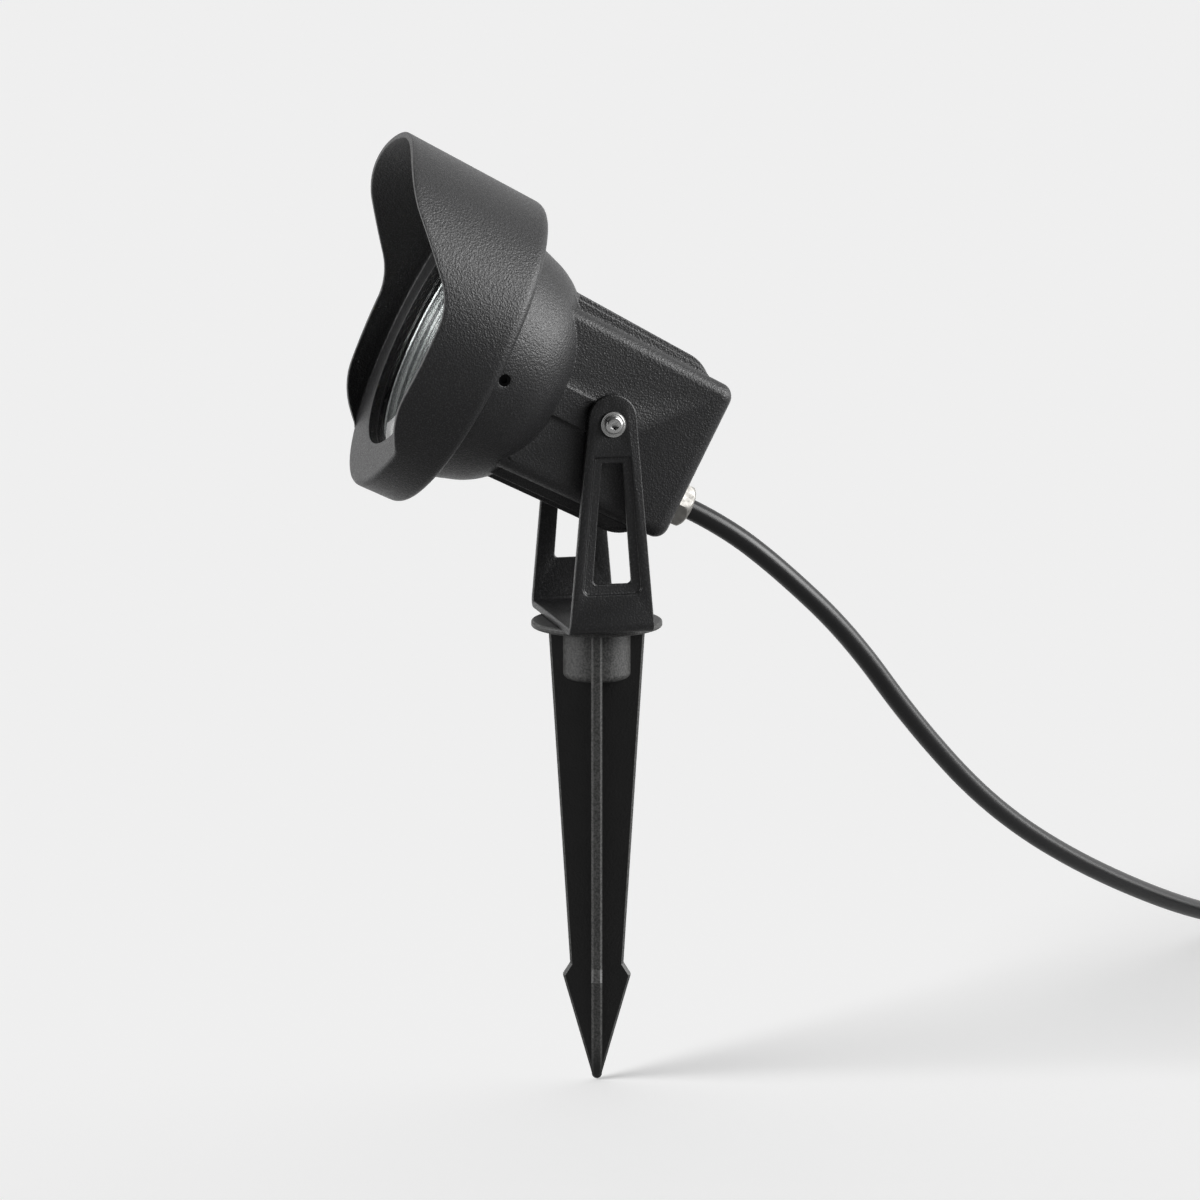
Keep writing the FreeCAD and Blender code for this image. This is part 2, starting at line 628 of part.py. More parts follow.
def make_swivel_fixing():
    deck = "(flange_thickness + strap)"
    publish("swivel_washer", ring(
        "flat_washer", "swivel_washer_radius", "swivel_shank_radius + thread_gap", deck,
        f"{deck} + swivel_washer_thickness"))
    publish("swivel_spring_washer", ring(
        "spring_washer", "spring_washer_radius", "swivel_shank_radius + thread_gap",
        f"{deck} + swivel_washer_thickness",
        f"{deck} + swivel_washer_thickness + spring_washer_thickness"))
    seat = mm(f"{deck} + swivel_washer_thickness + spring_washer_thickness")
    publish("swivel_bolt", screw("bolt", "swivel"), Placement(Vector(0, 0, seat), Rotation()))


# --------------------------------------------------------------------------- yoke bracket
def ear_half_width(height):
    """Half width of the ear at a height, on its straight sloping edge."""
    return (f"(ear_base_width / 2 - (ear_base_width / 2 - ear_top_radius)"
            f" * ({height} - flange_thickness) / (pivot_height + ear_top_rise - flange_thickness))")


def make_bracket():
    half, low = "yoke_width / 2", "flange_thickness"
    top = "(pivot_height + ear_top_rise + ear_top_radius)"
    bracket = new_body("bracket")
    add_pad(bracket, "strap_bend", "XZ_Plane", [
        (f"-({half} - bend_outer)", low, "left", "bend_outer"), (f"{half} - bend_outer", low),
        (half, f"{low} + bend_outer", "left", "bend_outer"), (half, top),
        (f"{half} - strap", top), (f"{half} - strap", f"{low} + bend_outer"),
        (f"{half} - bend_outer", f"{low} + strap", "right", "bend_outer - strap"),
        (f"-({half} - bend_outer)", f"{low} + strap"),
        (f"-({half} - strap)", f"{low} + bend_outer", "right", "bend_outer - strap"),
        (f"-({half} - strap)", top), (f"-({half})", top),
        (f"-({half})", f"{low} + bend_outer"),
    ], "ear_base_width", offset="pivot_forward", side="Symmetric")

    def waste(sketch):
        """Everything beside and above the ear's outline."""
        wide, under = "(ear_base_width / 2 + cut_margin)", f"{low} - cut_margin"
        over = f"{top} + cut_margin"
        draw_outline(sketch, [
            (f"-{wide} - pivot_forward", under), (f"{wide} - pivot_forward", under),
            (f"{wide} - pivot_forward", over), (f"-{wide} - pivot_forward", over)])
        centre = "(pivot_height + ear_top_rise)"
        draw_outline(sketch, [
            ("-ear_base_width / 2 - pivot_forward", f"{low} - overlap"),
            ("ear_base_width / 2 - pivot_forward", f"{low} - overlap"),
            ("ear_base_width / 2 - pivot_forward", low),
            ("ear_top_radius - pivot_forward", centre),
            ("-pivot_forward", f"{centre} + ear_top_radius", "left", "ear_top_radius"),
            ("-ear_top_radius - pivot_forward", centre, "left", "ear_top_radius"),
            ("-ear_base_width / 2 - pivot_forward", low)])

    def rounded_trapezoid(sketch, bottom, upper, low_half, top_half, radius):
        c = "pivot_forward"
        draw_outline(sketch, [
            (f"{low_half} - {radius} - {c}", bottom),
            (f"{low_half} - {c}", f"{bottom} + {radius}", "left", radius),
            (f"{top_half} - {c}", upper), (f"-({top_half}) - {c}", upper),
            (f"-({low_half}) - {c}", f"{bottom} + {radius}"),
            (f"-({low_half} - {radius}) - {c}", bottom, "left", radius)])

    add_pocket(bracket, "ear_outline", "YZ_Plane", waste)
    add_pocket(bracket, "ear_window", "YZ_Plane", lambda s: rounded_trapezoid(
        s, "window_bottom", "(pivot_height - window_top_gap)", "window_bottom_width / 2",
        "window_top_width / 2", "window_round"))

    def recess(sketch):
        rounded_trapezoid(
            sketch, "(window_bottom - recess_margin)",
            "(pivot_height - window_top_gap + recess_top_margin)",
            "(window_bottom_width / 2 + recess_margin)",
            "(window_top_width / 2 + recess_top_side)", "recess_round")

    add_pocket(bracket, "recess_near", "YZ_Plane", recess, length="recess_depth", offset=half)
    add_pocket(bracket, "recess_far", "YZ_Plane", recess, length="recess_depth",
               offset=f"-({half})", reverse=True)
    add_pocket(bracket, "pivot_holes", "YZ_Plane", lambda s: draw_circle(
        s, "-pivot_forward", "pivot_height", "pivot_shank_radius + bolt_gap"))
    add_pocket(bracket, "bolt_hole", "XY_Plane", lambda s: draw_circle(
        s, "0", "0", "swivel_shank_radius + bolt_gap"))
    publish("yoke_bracket", bracket)


# --------------------------------------------------------------------------- housing
def rounded_rectangle(half_width, low, high, corner, depth):
    """Wire of a rounded rectangle across the lamp axis."""
    w, r = half_width, corner
    d = r * (1 - math.sqrt(0.5))
    flat = [
        (Vector(-w + r, -low, depth), Vector(w - r, -low, depth)),
        (Vector(w, -low + r, depth), Vector(w, high - r, depth)),
        (Vector(w - r, high, depth), Vector(-w + r, high, depth)),
        (Vector(-w, high - r, depth), Vector(-w, -low + r, depth)),
    ]
    middles = [Vector(w - d, -low + d, depth), Vector(w - d, high - d, depth),
               Vector(-w + d, high - d, depth), Vector(-w + d, -low + d, depth)]
    edges = []
    for k, (start, stop) in enumerate(flat):
        edges.append(Part.LineSegment(start, stop).toShape())
        edges.append(Part.Arc(stop, middles[k], flat[(k + 1) % 4][0]).toShape())
    return Part.Wire(edges)


def side_at(gap):
    """Half width of the housing that leaves a gap inside the ears."""
    return f"(yoke_width / 2 - strap - {gap})"


def box_wire(depth, inset=0.0):
    """Section of the tapered box at a distance ahead of the pivot."""
    share = (depth + mm("rear_face")) / (mm("box_front") + mm("rear_face"))

    def between(rear, front):
        return mm(rear) + (mm(front) - mm(rear)) * share - inset

    return rounded_rectangle(
        between(side_at("side_gap_rear"), side_at("side_gap_front")),
        between("box_low_rear", "box_low_front"), between("box_top_rear", "box_top_front"),
        max(mm("box_corner") - inset, SMALLEST_CORNER), depth)


def make_box():
    """Tapered box of the housing with a rounded back, before the cavity is cut."""
    rear = -mm("rear_face")
    block = Part.makeLoft([box_wire(rear), box_wire(mm("box_front"))], True, True)
    rim = [e for e in block.Edges if e.BoundBox.ZMax < rear + TOLERANCE]
    return block.makeFillet(mm("box_rear_round"), rim)


def make_cavity():
    rear = -mm("rear_face") + mm("box_wall")
    wall = mm("box_wall")
    return Part.makeLoft([box_wire(rear, wall), box_wire(mm("cavity_front"), wall)], True, True)


def add_fins(body, name, face, tip_front, tip_rear, sign):
    """A row of fins along the axis, as one pad for each fin; the inner ones stand out further."""
    count = int(mm("fin_count"))
    side = "left" if sign > 0 else "right"
    for k in range(count):
        middle = f"({k} - (fin_count - 1) / 2) * fin_pitch"
        crown = "fin_crown" if 0 < k < count - 1 else "0"
        add_pad(body, f"{name}_{k + 1}", "YZ_Plane", [
            (f"{sign} * ({face} - fin_root)", "box_front"),
            (f"{sign} * ({face} - fin_root)", "-fin_end - fin_end_length"),
            (f"{sign} * ({tip_rear} + {crown} - fin_end_drop)", "-fin_end - fin_end_length"),
            (f"{sign} * ({tip_rear} + {crown})", "-fin_end", side, "fin_end_radius"),
            (f"{sign} * ({tip_front} + {crown})", "box_front")],
            "fin_thickness", offset=middle, side="Symmetric")
    add_pad(body, f"{name}_root", "XY_Plane", mirrored([
        ("fin_pitch * (fin_count - 1) / 2", f"{sign} * ({face} - fin_root - overlap)"),
        ("fin_pitch * (fin_count - 1) / 2", f"{sign} * ({face} - fin_root + overlap)")]),
        "box_front + fin_end", offset="-fin_end")


INNER_SIDE = side_at("side_gap_rear") + " - box_wall"
BOSS_INNER = f"({INNER_SIDE} - boss_length + boss_root)"
DRIVER_HALF = f"({BOSS_INNER} - driver_gap)"
MOUTH_BORE = "(sleeve_radius + sleeve_gap)"
DOME_MOUTH = "(hood_rear - seal_thickness)"


def make_housing():
    dome = turned("dome", [
        ("0", "dome_rear"), ("dome_rear_radius", "dome_rear"),
        ("dome_mid_radius", "dome_mid", "left", "dome_rear_arc"),
        (f"{MOUTH_BORE} + dome_mouth_wall", DOME_MOUTH, "left", "dome_front_arc"),
        ("0", DOME_MOUTH)])
    box = feature_of("housing_box", make_box())
    cavity = feature_of("housing_cavity", make_cavity())

    fins = new_body("fins_top")
    add_fins(fins, "fin_top", "box_top_rear", "fin_top_front", "fin_top_rear", 1)
    fins_low = new_body("fins_low")
    add_fins(fins_low, "fin_low", "box_low_rear", "fin_low_front", "fin_low_rear", -1)

    pads = new_body("side_pads")
    pad_width = "yoke_width - 2 * strap - 2 * pivot_washer_thickness"
    add_pad(pads, "side_pad", "YZ_Plane", [
        ("-pad_drop - pad_half_height", "pad_front"), ("-pad_drop - pad_half_height", "-pad_rear"),
        ("-pad_drop", "-pad_rear - pad_half_height", "left", "pad_half_height"),
        ("-pad_drop + pad_half_height", "-pad_rear", "left", "pad_half_height"),
        ("-pad_drop + pad_half_height", "pad_front")], pad_width, side="Symmetric")

    bore_end = "hood_rear - sleeve_length - mouth_clearance"
    front = turned("front_cavity", [
        ("0", "ledge"), ("ledge_radius", "ledge"), ("ledge_radius", "ledge + ledge_wall"),
        (f"{MOUTH_BORE} - mouth_step", bore_end), (MOUTH_BORE, bore_end),
        (MOUTH_BORE, "hood_rear"), ("0", "hood_rear")])
    throat = turned("ledge_throat", [
        ("0", "cavity_front - overlap"), ("ledge_opening", "cavity_front - overlap"),
        ("ledge_opening", "ledge + overlap"), ("0", "ledge + overlap")])
    rough = fuse("housing_rough", [dome, box, fins, fins_low, pads])
    hollow = cut("housing_hollow", rough, [cavity, front, throat])

    bosses = []
    for side, sign in (("near", 1), ("far", -1)):
        boss = doc.addObject("Part::Cylinder", f"pivot_boss_{side}")
        bind(boss, "Radius", "boss_radius")
        bind(boss, "Height", "boss_length")
        boss.Placement = Placement(Vector(), Rotation(Vector(0, 1, 0), 90 * sign))
        bind(boss, "Placement.Base.x", f"{sign} * {BOSS_INNER}")
        bosses.append(boss)
    earth = doc.addObject("Part::Cylinder", "earth_boss")
    bind(earth, "Radius", "earth_boss_radius")
    bind(earth, "Height", "earth_boss_length + overlap")
    bind(earth, "Placement.Base.x", "earth_side")
    bind(earth, "Placement.Base.y", "earth_up")
    bind(earth, "Placement.Base.z", "-rear_face + box_wall - overlap")
    solid = fuse("housing_solid", [hollow, earth] + bosses)

    holes = []
    for side, sign in (("near", 1), ("far", -1)):
        bore = doc.addObject("Part::Cylinder", f"pivot_bore_{side}")
        bind(bore, "Radius", "pivot_shank_radius + thread_gap")
        bind(bore, "Height", "yoke_width / 2")
        bore.Placement = Placement(Vector(), Rotation(Vector(0, 1, 0), 90 * sign))
        bind(bore, "Placement.Base.x", f"{sign} * ({INNER_SIDE} - boss_length)")
        holes.append(bore)
    gland_hole = doc.addObject("Part::Cylinder", "gland_hole")
    bind(gland_hole, "Radius", "gland_thread_radius + gland_hole_gap")
    bind(gland_hole, "Height", "box_wall + 2 * overlap")
    bind(gland_hole, "Placement.Base.y", "-gland_drop")
    bind(gland_hole, "Placement.Base.z", "-rear_face - overlap")
    holes.append(gland_hole)
    earth_bore = doc.addObject("Part::Cylinder", "earth_bore")
    bind(earth_bore, "Radius", "small_shank_radius + thread_gap")
    bind(earth_bore, "Height", "earth_boss_length + 2 * overlap")
    bind(earth_bore, "Placement.Base.x", "earth_side")
    bind(earth_bore, "Placement.Base.y", "earth_up")
    bind(earth_bore, "Placement.Base.z", "-rear_face + box_wall - overlap")
    holes.append(earth_bore)
    drill = doc.addObject("Part::Cylinder", "plate_screw_drill")
    bind(drill, "Radius", "small_shank_radius + thread_gap")
    bind(drill, "Height", "small_shank_length")
    holes.append(copies("plate_screw_holes", drill, ring_places(
        int(mm("plate_screw_count")), mm("plate_screw_circle / 2"),
        mm("ledge + led_plate_thickness - small_shank_length - plate_screw_runout"), 90)))
    grub = doc.addObject("Part::Cylinder", "set_screw_drill")
    bind(grub, "Radius", "set_screw_radius + thread_gap")
    bind(grub, "Height", "2 * dome_mouth_wall + overlap")
    holes.append(copies("set_screw_holes", grub, radial_places(
        int(mm("set_screw_count")), mm("sleeve_radius - overlap"), mm("hood_rear - set_screw_place"),
        mm("set_screw_angle"))))
    publish("housing", cut("housing_cast", solid, holes), HEAD)


def radial_places(count, radius, height, first):
    """Places round the lamp axis, each with its Z axis pointing outwards."""
    places = []
    for k in range(count):
        angle = first + 360.0 * k / count
        spin = Rotation(Vector(0, 0, 1), angle) * Rotation(Vector(0, 1, 0), 90)
        out = Rotation(Vector(0, 0, 1), angle).multVec(Vector(radius, 0, height))
        places.append(Placement(out, spin))
    return places


# --------------------------------------------------------------------------- hood
def hood_radius_at(place):
    """Outside radius of the hood at a distance ahead of the pivot."""
    return f"(hood_radius + hood_flare * ({place} - hood_rear) / (hood_reach - hood_rear))"


GLASS_FRONT = "(bezel_front - bezel_lip - gasket_thickness)"
GLASS_REAR = "(bezel_front - bezel_lip - gasket_thickness - glass_thickness)"
GLASS_BORE = "(glass_radius + glass_gap)"


def make_collar():
    """Ring that screws into the hood behind the glass, with the sleeve that enters the dome."""
    publish("hood_collar", turned("collar", [
        ("collar_inner", "hood_rear - sleeve_length"), ("sleeve_radius", "hood_rear - sleeve_length"),
        ("sleeve_radius", "hood_rear"), ("collar_outer", "hood_rear"),
        ("collar_outer", GLASS_REAR), ("collar_inner", GLASS_REAR)]), HEAD)


def make_hood():
    thread = "(collar_outer + slip_gap)"
    shell = turned("hood_shell", [
        (thread, GLASS_REAR), (thread, "hood_rear"), ("hood_radius - hood_rear_round", "hood_rear"),
        (hood_radius_at("(hood_rear + hood_rear_round)"), "hood_rear + hood_rear_round",
         "left", "hood_rear_round"),
        (hood_radius_at("hood_reach"), "hood_reach"),
        (hood_radius_at("hood_reach") + " - visor_wall", "hood_reach"),
        (hood_radius_at("bezel_front") + " - visor_wall", "bezel_front"),
        ("aperture_radius", "bezel_front"), ("aperture_radius", "bezel_front - bezel_lip"),
        (GLASS_BORE, "bezel_front - bezel_lip"), (GLASS_BORE, GLASS_REAR)])
    waste = new_body("visor_waste")
    beyond, ahead = "(hood_radius + hood_flare + cut_margin)", "hood_reach + cut_margin"
    add_pad(waste, "visor_outline", "YZ_Plane", [
        (beyond, ahead), (f"-{beyond}", ahead), (f"-{beyond}", "bezel_front"),
        ("-visor_start_drop", "bezel_front"),
        ("-visor_knee_drop", "bezel_front + visor_knee_reach"),
        ("-visor_shelf_drop", "bezel_front + visor_shelf_reach", "right", "visor_knee_arc"),
        ("visor_dip_rise", "bezel_front + visor_dip_reach"),
        ("visor_slope_rise", "bezel_front + visor_slope_reach", "left", "visor_dip_arc"),
        ("visor_crown_rise", "bezel_front + visor_crown_reach"),
        ("visor_top_rise", "hood_reach - visor_trim", "right", "visor_crown_arc"),
        (beyond, "hood_reach - visor_trim"),
    ], f"{beyond} * 2", side="Symmetric")
    hood = cut("hood_scalloped", shell, [waste])
    doc.recompute()
    lip = [index for index, edge in enumerate(hood.Shape.Edges, start=1)
           if edge.BoundBox.ZLength < TOLERANCE
           and abs(edge.BoundBox.ZMin - mm("bezel_front")) < TOLERANCE
           and edge.BoundBox.XLength > mm("hood_radius")
           and edge.BoundBox.YMin < -mm("hood_radius - overlap")]
    rounded = doc.addObject("Part::Fillet", "hood_cast")
    rounded.Base = hood
    rounded.Edges = [(index, mm("lip_round"), mm("lip_round")) for index in lip]
    publish("hood", rounded, HEAD)
    publish("hood_seal", ring(
        "seal", f"{MOUTH_BORE} + dome_mouth_wall - seal_inset", MOUTH_BORE, DOME_MOUTH,
        "hood_rear"), HEAD)


def make_set_screws():
    grub = new_body("grub")
    add_turn(grub, "grub_turn", [
        ("0", "0"), ("set_screw_radius - screw_tip", "0"), ("set_screw_radius", "screw_tip"),
        ("set_screw_radius", "set_screw_length"), ("0", "set_screw_length")])
    add_pocket(grub, "grub_socket", "XY_Plane",
               lambda s: draw_outline(s, hexagon("set_screw_flats")),
               length="set_screw_socket", offset="set_screw_length")
    publish("hood_set_screws", copies("grubs", grub, radial_places(
        int(mm("set_screw_count")), mm("sleeve_radius + set_screw_gap"),
        mm("hood_rear - set_screw_place"), mm("set_screw_angle"))), HEAD)


# --------------------------------------------------------------------------- pivot
DISH = "pivot_flange_dish"


def make_pivot():
    rim, low = "pivot_flange_radius", "pivot_flange_height"
    button = screw("button_screw", "pivot", flange=[
        (rim, "0"), (rim, f"{low} - {DISH}"), (f"{rim} - {DISH}", low), (f"{rim} - 2 * {DISH}", low),
        (f"{rim} - 3 * {DISH}", f"{low} - {DISH}"), ("pivot_head_radius", f"{low} - {DISH}")])
    places = []
    for sign in (1, -1):
        places.append(Placement(Vector(sign * mm("yoke_width / 2"), 0, 0),
                                Rotation(Vector(0, 1, 0), 90 * sign)))
    publish("pivot_screws", copies("button_screws", button, places), HEAD)
    washer = ring("toothed_washer", "pivot_washer_radius", "pivot_shank_radius + bolt_gap",
                  "0", "pivot_washer_thickness")
    inner = mm("yoke_width / 2 - strap - pivot_washer_thickness")
    places = []
    for sign in (1, -1):
        places.append(Placement(Vector(sign * inner, 0, 0), Rotation(Vector(0, 1, 0), 90 * sign)))
    publish("pivot_washers", copies("toothed_washers", washer, places), HEAD)


# --------------------------------------------------------------------------- optics
def make_optics():
    bevel = "glass_bevel"
    publish("lens_gasket", ring(
        "gasket", f"{GLASS_BORE} - slip_gap", f"{GLASS_BORE} - gasket_width", GLASS_FRONT,
        "bezel_front - bezel_lip"), HEAD)
    publish("lens_glass", turned("glass", [
        ("0", GLASS_REAR), (f"glass_radius - {bevel}", GLASS_REAR),
        ("glass_radius", f"{GLASS_REAR} + {bevel}"), ("glass_radius", f"{GLASS_FRONT} - {bevel}"),
        (f"glass_radius - {bevel}", GLASS_FRONT), ("0", GLASS_FRONT)]), HEAD)
    make_reflector(GLASS_REAR)


def make_reflector(rim):
    """Bright terraced bowl from the LED holder up to the glass."""
    base = "(ledge + led_plate_thickness + holder_top)"
    steps = int(mm("reflector_steps"))
    rise = f"({rim} - {base} - reflector_wall)"
    inside = [("reflector_throat", base)]
    for k in range(steps):
        low = f"({k} / {steps})"
        high = f"({k + 1} / {steps})"
        wide = f"reflector_throat + (reflector_mouth - reflector_throat) * {high}"
        level = f"{base} + {rise} * {high} * {high}"
        inside.append((f"{wide} - reflector_step * {RISER_WIDTH}",
                       f"{level} - reflector_step * {low} * {RISER_HEIGHT}" if k else level))
        inside.append((wide, f"{level} + reflector_step * {RISER_HEIGHT}"
                       if k < steps - 1 else f"{rim} - slip_gap"))
    inside.append(("collar_inner - slip_gap", f"{rim} - slip_gap"))
    inside.append(("collar_inner - slip_gap", f"{rim} - slip_gap - reflector_wall"))
    outside = []
    for k in range(steps - 1, 0, -1):
        share = f"({k} / {steps})"
        wide = f"reflector_throat + (reflector_mouth - reflector_throat) * {share}"
        outside.append((f"{wide} + reflector_wall * {WALL_BEHIND}",
                        f"{base} + {rise} * {share} * {share} - reflector_wall"))
    outside.append((f"reflector_throat + reflector_wall * {WALL_AT_THROAT}", base))
    publish("reflector", turned("bowl", inside + outside), HEAD)


# --------------------------------------------------------------------------- LED
def make_led():
    plate_top = "(ledge + led_plate_thickness)"
    plate = new_body("plate")
    add_turn(plate, "plate_turn", [
        ("0", "ledge"), ("ledge_radius - led_plate_gap", "ledge"),
        ("ledge_radius - led_plate_gap", plate_top), ("0", plate_top)])

    def screw_holes(sketch):
        for place in ring_places(int(mm("plate_screw_count")), 1.0, 0, 90):
            draw_circle(sketch, f"plate_screw_circle / 2 * {place.Base.x:.6f}",
                        f"plate_screw_circle / 2 * {place.Base.y:.6f}",
                        "small_shank_radius + small_bolt_gap")
        for sign in (1, -1):
            draw_circle(sketch, f"{sign} * holder_screw_circle / 2", "0",
                        "small_shank_radius + thread_gap")
        draw_circle(sketch, "0", "wire_hole_place", "wire_hole")

    add_pocket(plate, "plate_holes", "XY_Plane", screw_holes)
    publish("led_plate", plate, HEAD)
    small = screw("small_screw", "small")
    publish("led_plate_screws", copies("plate_screws", small, ring_places(
        int(mm("plate_screw_count")), mm("plate_screw_circle / 2"), mm(plate_top), 90)), HEAD)
    publish("thermal_pad", turned("pad", [
        ("0", plate_top), ("pad_radius", plate_top), ("pad_radius", f"{plate_top} + pad_thickness"),
        ("0", f"{plate_top} + pad_thickness")]), HEAD)
    board_low = f"({plate_top} + pad_thickness)"
    board_top = f"({board_low} + board_thickness)"
    publish("led_board", turned("star_board", [
        ("0", board_low), ("board_radius", board_low), ("board_radius", board_top),
        ("0", board_top)]), HEAD)
    emitter = new_body("emitter")
    add_pad(emitter, "emitter_block", "XY_Plane", mirrored([
        ("emitter_half", "emitter_half"), ("emitter_half", "-emitter_half")]),
        "emitter_thickness", offset=board_top)
    publish("led_emitter", emitter, HEAD)
    holder, seat = new_body("holder"), f"{board_top} + holder_seat_gap"
    add_turn(holder, "holder_turn", [
        ("holder_bore", seat), ("holder_bore", f"{plate_top} + holder_top"),
        ("holder_collar", f"{plate_top} + holder_top"),
        ("holder_collar", f"{plate_top} + holder_flange_top"),
        ("holder_radius", f"{plate_top} + holder_flange_top"), ("holder_radius", plate_top),
        ("board_radius + holder_board_gap", plate_top), ("board_radius + holder_board_gap", seat)])

    def holder_holes(sketch):
        for sign in (1, -1):
            draw_circle(sketch, f"{sign} * holder_screw_circle / 2", "0",
                        "small_shank_radius + small_bolt_gap")

    add_pocket(holder, "holder_holes", "XY_Plane", holder_holes)
    publish("led_holder", holder, HEAD)
    publish("led_holder_screws", copies("holder_screws", small, ring_places(
        2, mm("holder_screw_circle / 2"), mm(f"{plate_top} + holder_flange_top"))), HEAD)
    return small


# --------------------------------------------------------------------------- driver and wiring
def make_driver(small):
    case = new_body("case")
    half, rear = DRIVER_HALF, "(driver_front - driver_depth)"
    add_pad(case, "case_block", "XY_Plane", mirrored([
        (half, half), (half, f"-{half}")]), "driver_depth", offset=rear)
    add_pocket(case, "case_hollow", "XY_Plane", lambda s: draw_outline(s, mirrored([
        (f"{half} - driver_wall", f"{half} - driver_wall"),
        (f"{half} - driver_wall", f"-({half} - driver_wall)")])),
        length="driver_depth - driver_wall", offset=rear, reverse=True)
    add_pocket(case, "case_wire_hole", "XY_Plane", lambda s: draw_circle(
        s, "0", f"{half} - led_wire_inset", "led_wire_hole"), length="driver_wall + overlap",
        offset="driver_front")
    publish("driver_case", case, HEAD)
    lid = new_body("lid")
    add_pad(lid, "lid_plate", "XY_Plane", mirrored([
        (half, half), (half, f"-{half}")]), "driver_lid_thickness",
        offset=f"{rear} - driver_lid_thickness")
    publish("driver_lid", lid, HEAD)
    standoff = doc.addObject("Part::Cylinder", "standoff")
    bind(standoff, "Radius", "standoff_radius")
    bind(standoff, "Height", "ledge - driver_front")
    side = mm("standoff_place")
    publish("driver_standoffs", copies("standoffs", standoff, [
        Placement(Vector(x, y, mm("driver_front")), Rotation())
        for x in (-side, side) for y in (-side, side)]), HEAD)
    board = new_body("board")
    inner = f"({half} - driver_wall - slip_gap)"
    add_pad(board, "board_plate", "XY_Plane", mirrored([
        (inner, inner), (inner, f"-{inner}")]), "board_thickness", offset="driver_board_place")
    for name, x, y, wide, tall in (
            ("transformer", "-transformer_side", "0", "transformer_half_width",
             "transformer_half_length"),
            ("capacitor", "capacitor_side", "capacitor_side", "capacitor_half", "capacitor_half"),
            ("choke", "choke_side", "-choke_side", "choke_half_width", "choke_half_length")):
        add_pad(board, name, "XY_Plane", [
            (f"{x} - {wide}", f"{y} - {tall}"), (f"{x} + {wide}", f"{y} - {tall}"),
            (f"{x} + {wide}", f"{y} + {tall}"), (f"{x} - {wide}", f"{y} + {tall}")],
            f"{name}_height", offset=f"driver_board_place - {name}_height")
    publish("driver_board", board, HEAD)

    lid_rear = f"({rear} - driver_lid_thickness)"
    block = new_body("block")
    add_pad(block, "block_body", "XY_Plane", mirrored([
        ("block_half_width", "block_top"), ("block_half_width", "-block_low")]),
        "block_depth", offset=f"{lid_rear} - block_depth")

    def entries(sketch):
        for k in (-1, 0, 1):
            draw_circle(sketch, f"{k} * block_pitch", "-block_low / 2", "block_bore")

    add_pocket(block, "block_entries", "XY_Plane", entries, length="block_depth - block_back",
               offset=f"{lid_rear} - block_depth", reverse=True)

    def screw_bores(sketch):
        for k in (-1, 0, 1):
            draw_circle(sketch, f"{k} * block_pitch", f"{lid_rear} - block_depth / 2",
                        "small_shank_radius + thread_gap")

    add_pocket(block, "block_screw_bores", "XZ_Plane", screw_bores,
               length="short_shank_length + slip_gap", offset="-block_top", reverse=True)
    publish("terminal_block", block, HEAD)
    return lid_rear


def make_small_short_screw():
    """Short pan head screw of the terminals and the earth point."""
    body = new_body("short_screw")
    add_turn(body, "short_screw_turn", [
        ("0", "-short_shank_length"), ("small_shank_radius", "-short_shank_length"),
        ("small_shank_radius", "0"),
        ("small_head_radius", "0"), ("small_head_radius", f"small_head_height * {SHORT_SIDE}"),
        (f"small_head_radius * {SHORT_FLAT}", "small_head_height"), ("0", "small_head_height")])
    return body


def tube(points, radius, smallest=0.0):
    """Tube along straight runs joined by tangent arcs; returns the solid, its length and radii."""
    edges, radii = [], []
    start = points[0]
    length = 0.0
    for before, corner, after in zip(points, points[1:], points[2:]):
        back, ahead = (before - corner), (after - corner)
        half_turn = (math.pi - back.getAngle(ahead)) / 2
        trim = ARC_SHARE * min(back.Length, ahead.Length)
        radii.append(trim / math.tan(half_turn))
        back.normalize()
        ahead.normalize()
        enter, leave = corner + back * trim, corner + ahead * trim
        inward = (back + ahead).normalize()
        middle = corner + inward * (radii[-1] / math.cos(half_turn) - radii[-1])
        edges.append(Part.LineSegment(start, enter).toShape())
        edges.append(Part.Arc(enter, middle, leave).toShape())
        start = leave
    edges.append(Part.LineSegment(start, points[-1]).toShape())
    path = Part.Wire(edges)
    length = path.Length
    heading = (points[1] - points[0]).normalize()
    section = Part.Wire(Part.Circle(points[0], heading, radius).toShape())
    solid = path.makePipeShell([section], True, False)
    expected = math.pi * radius ** 2 * length
    if abs(solid.Volume - expected) > TUBE_ERROR * expected or min(radii) < smallest:
        raise ValueError(f"tube volume {solid.Volume:.0f} for {expected:.0f}, radii {radii}")
    return solid, length, radii


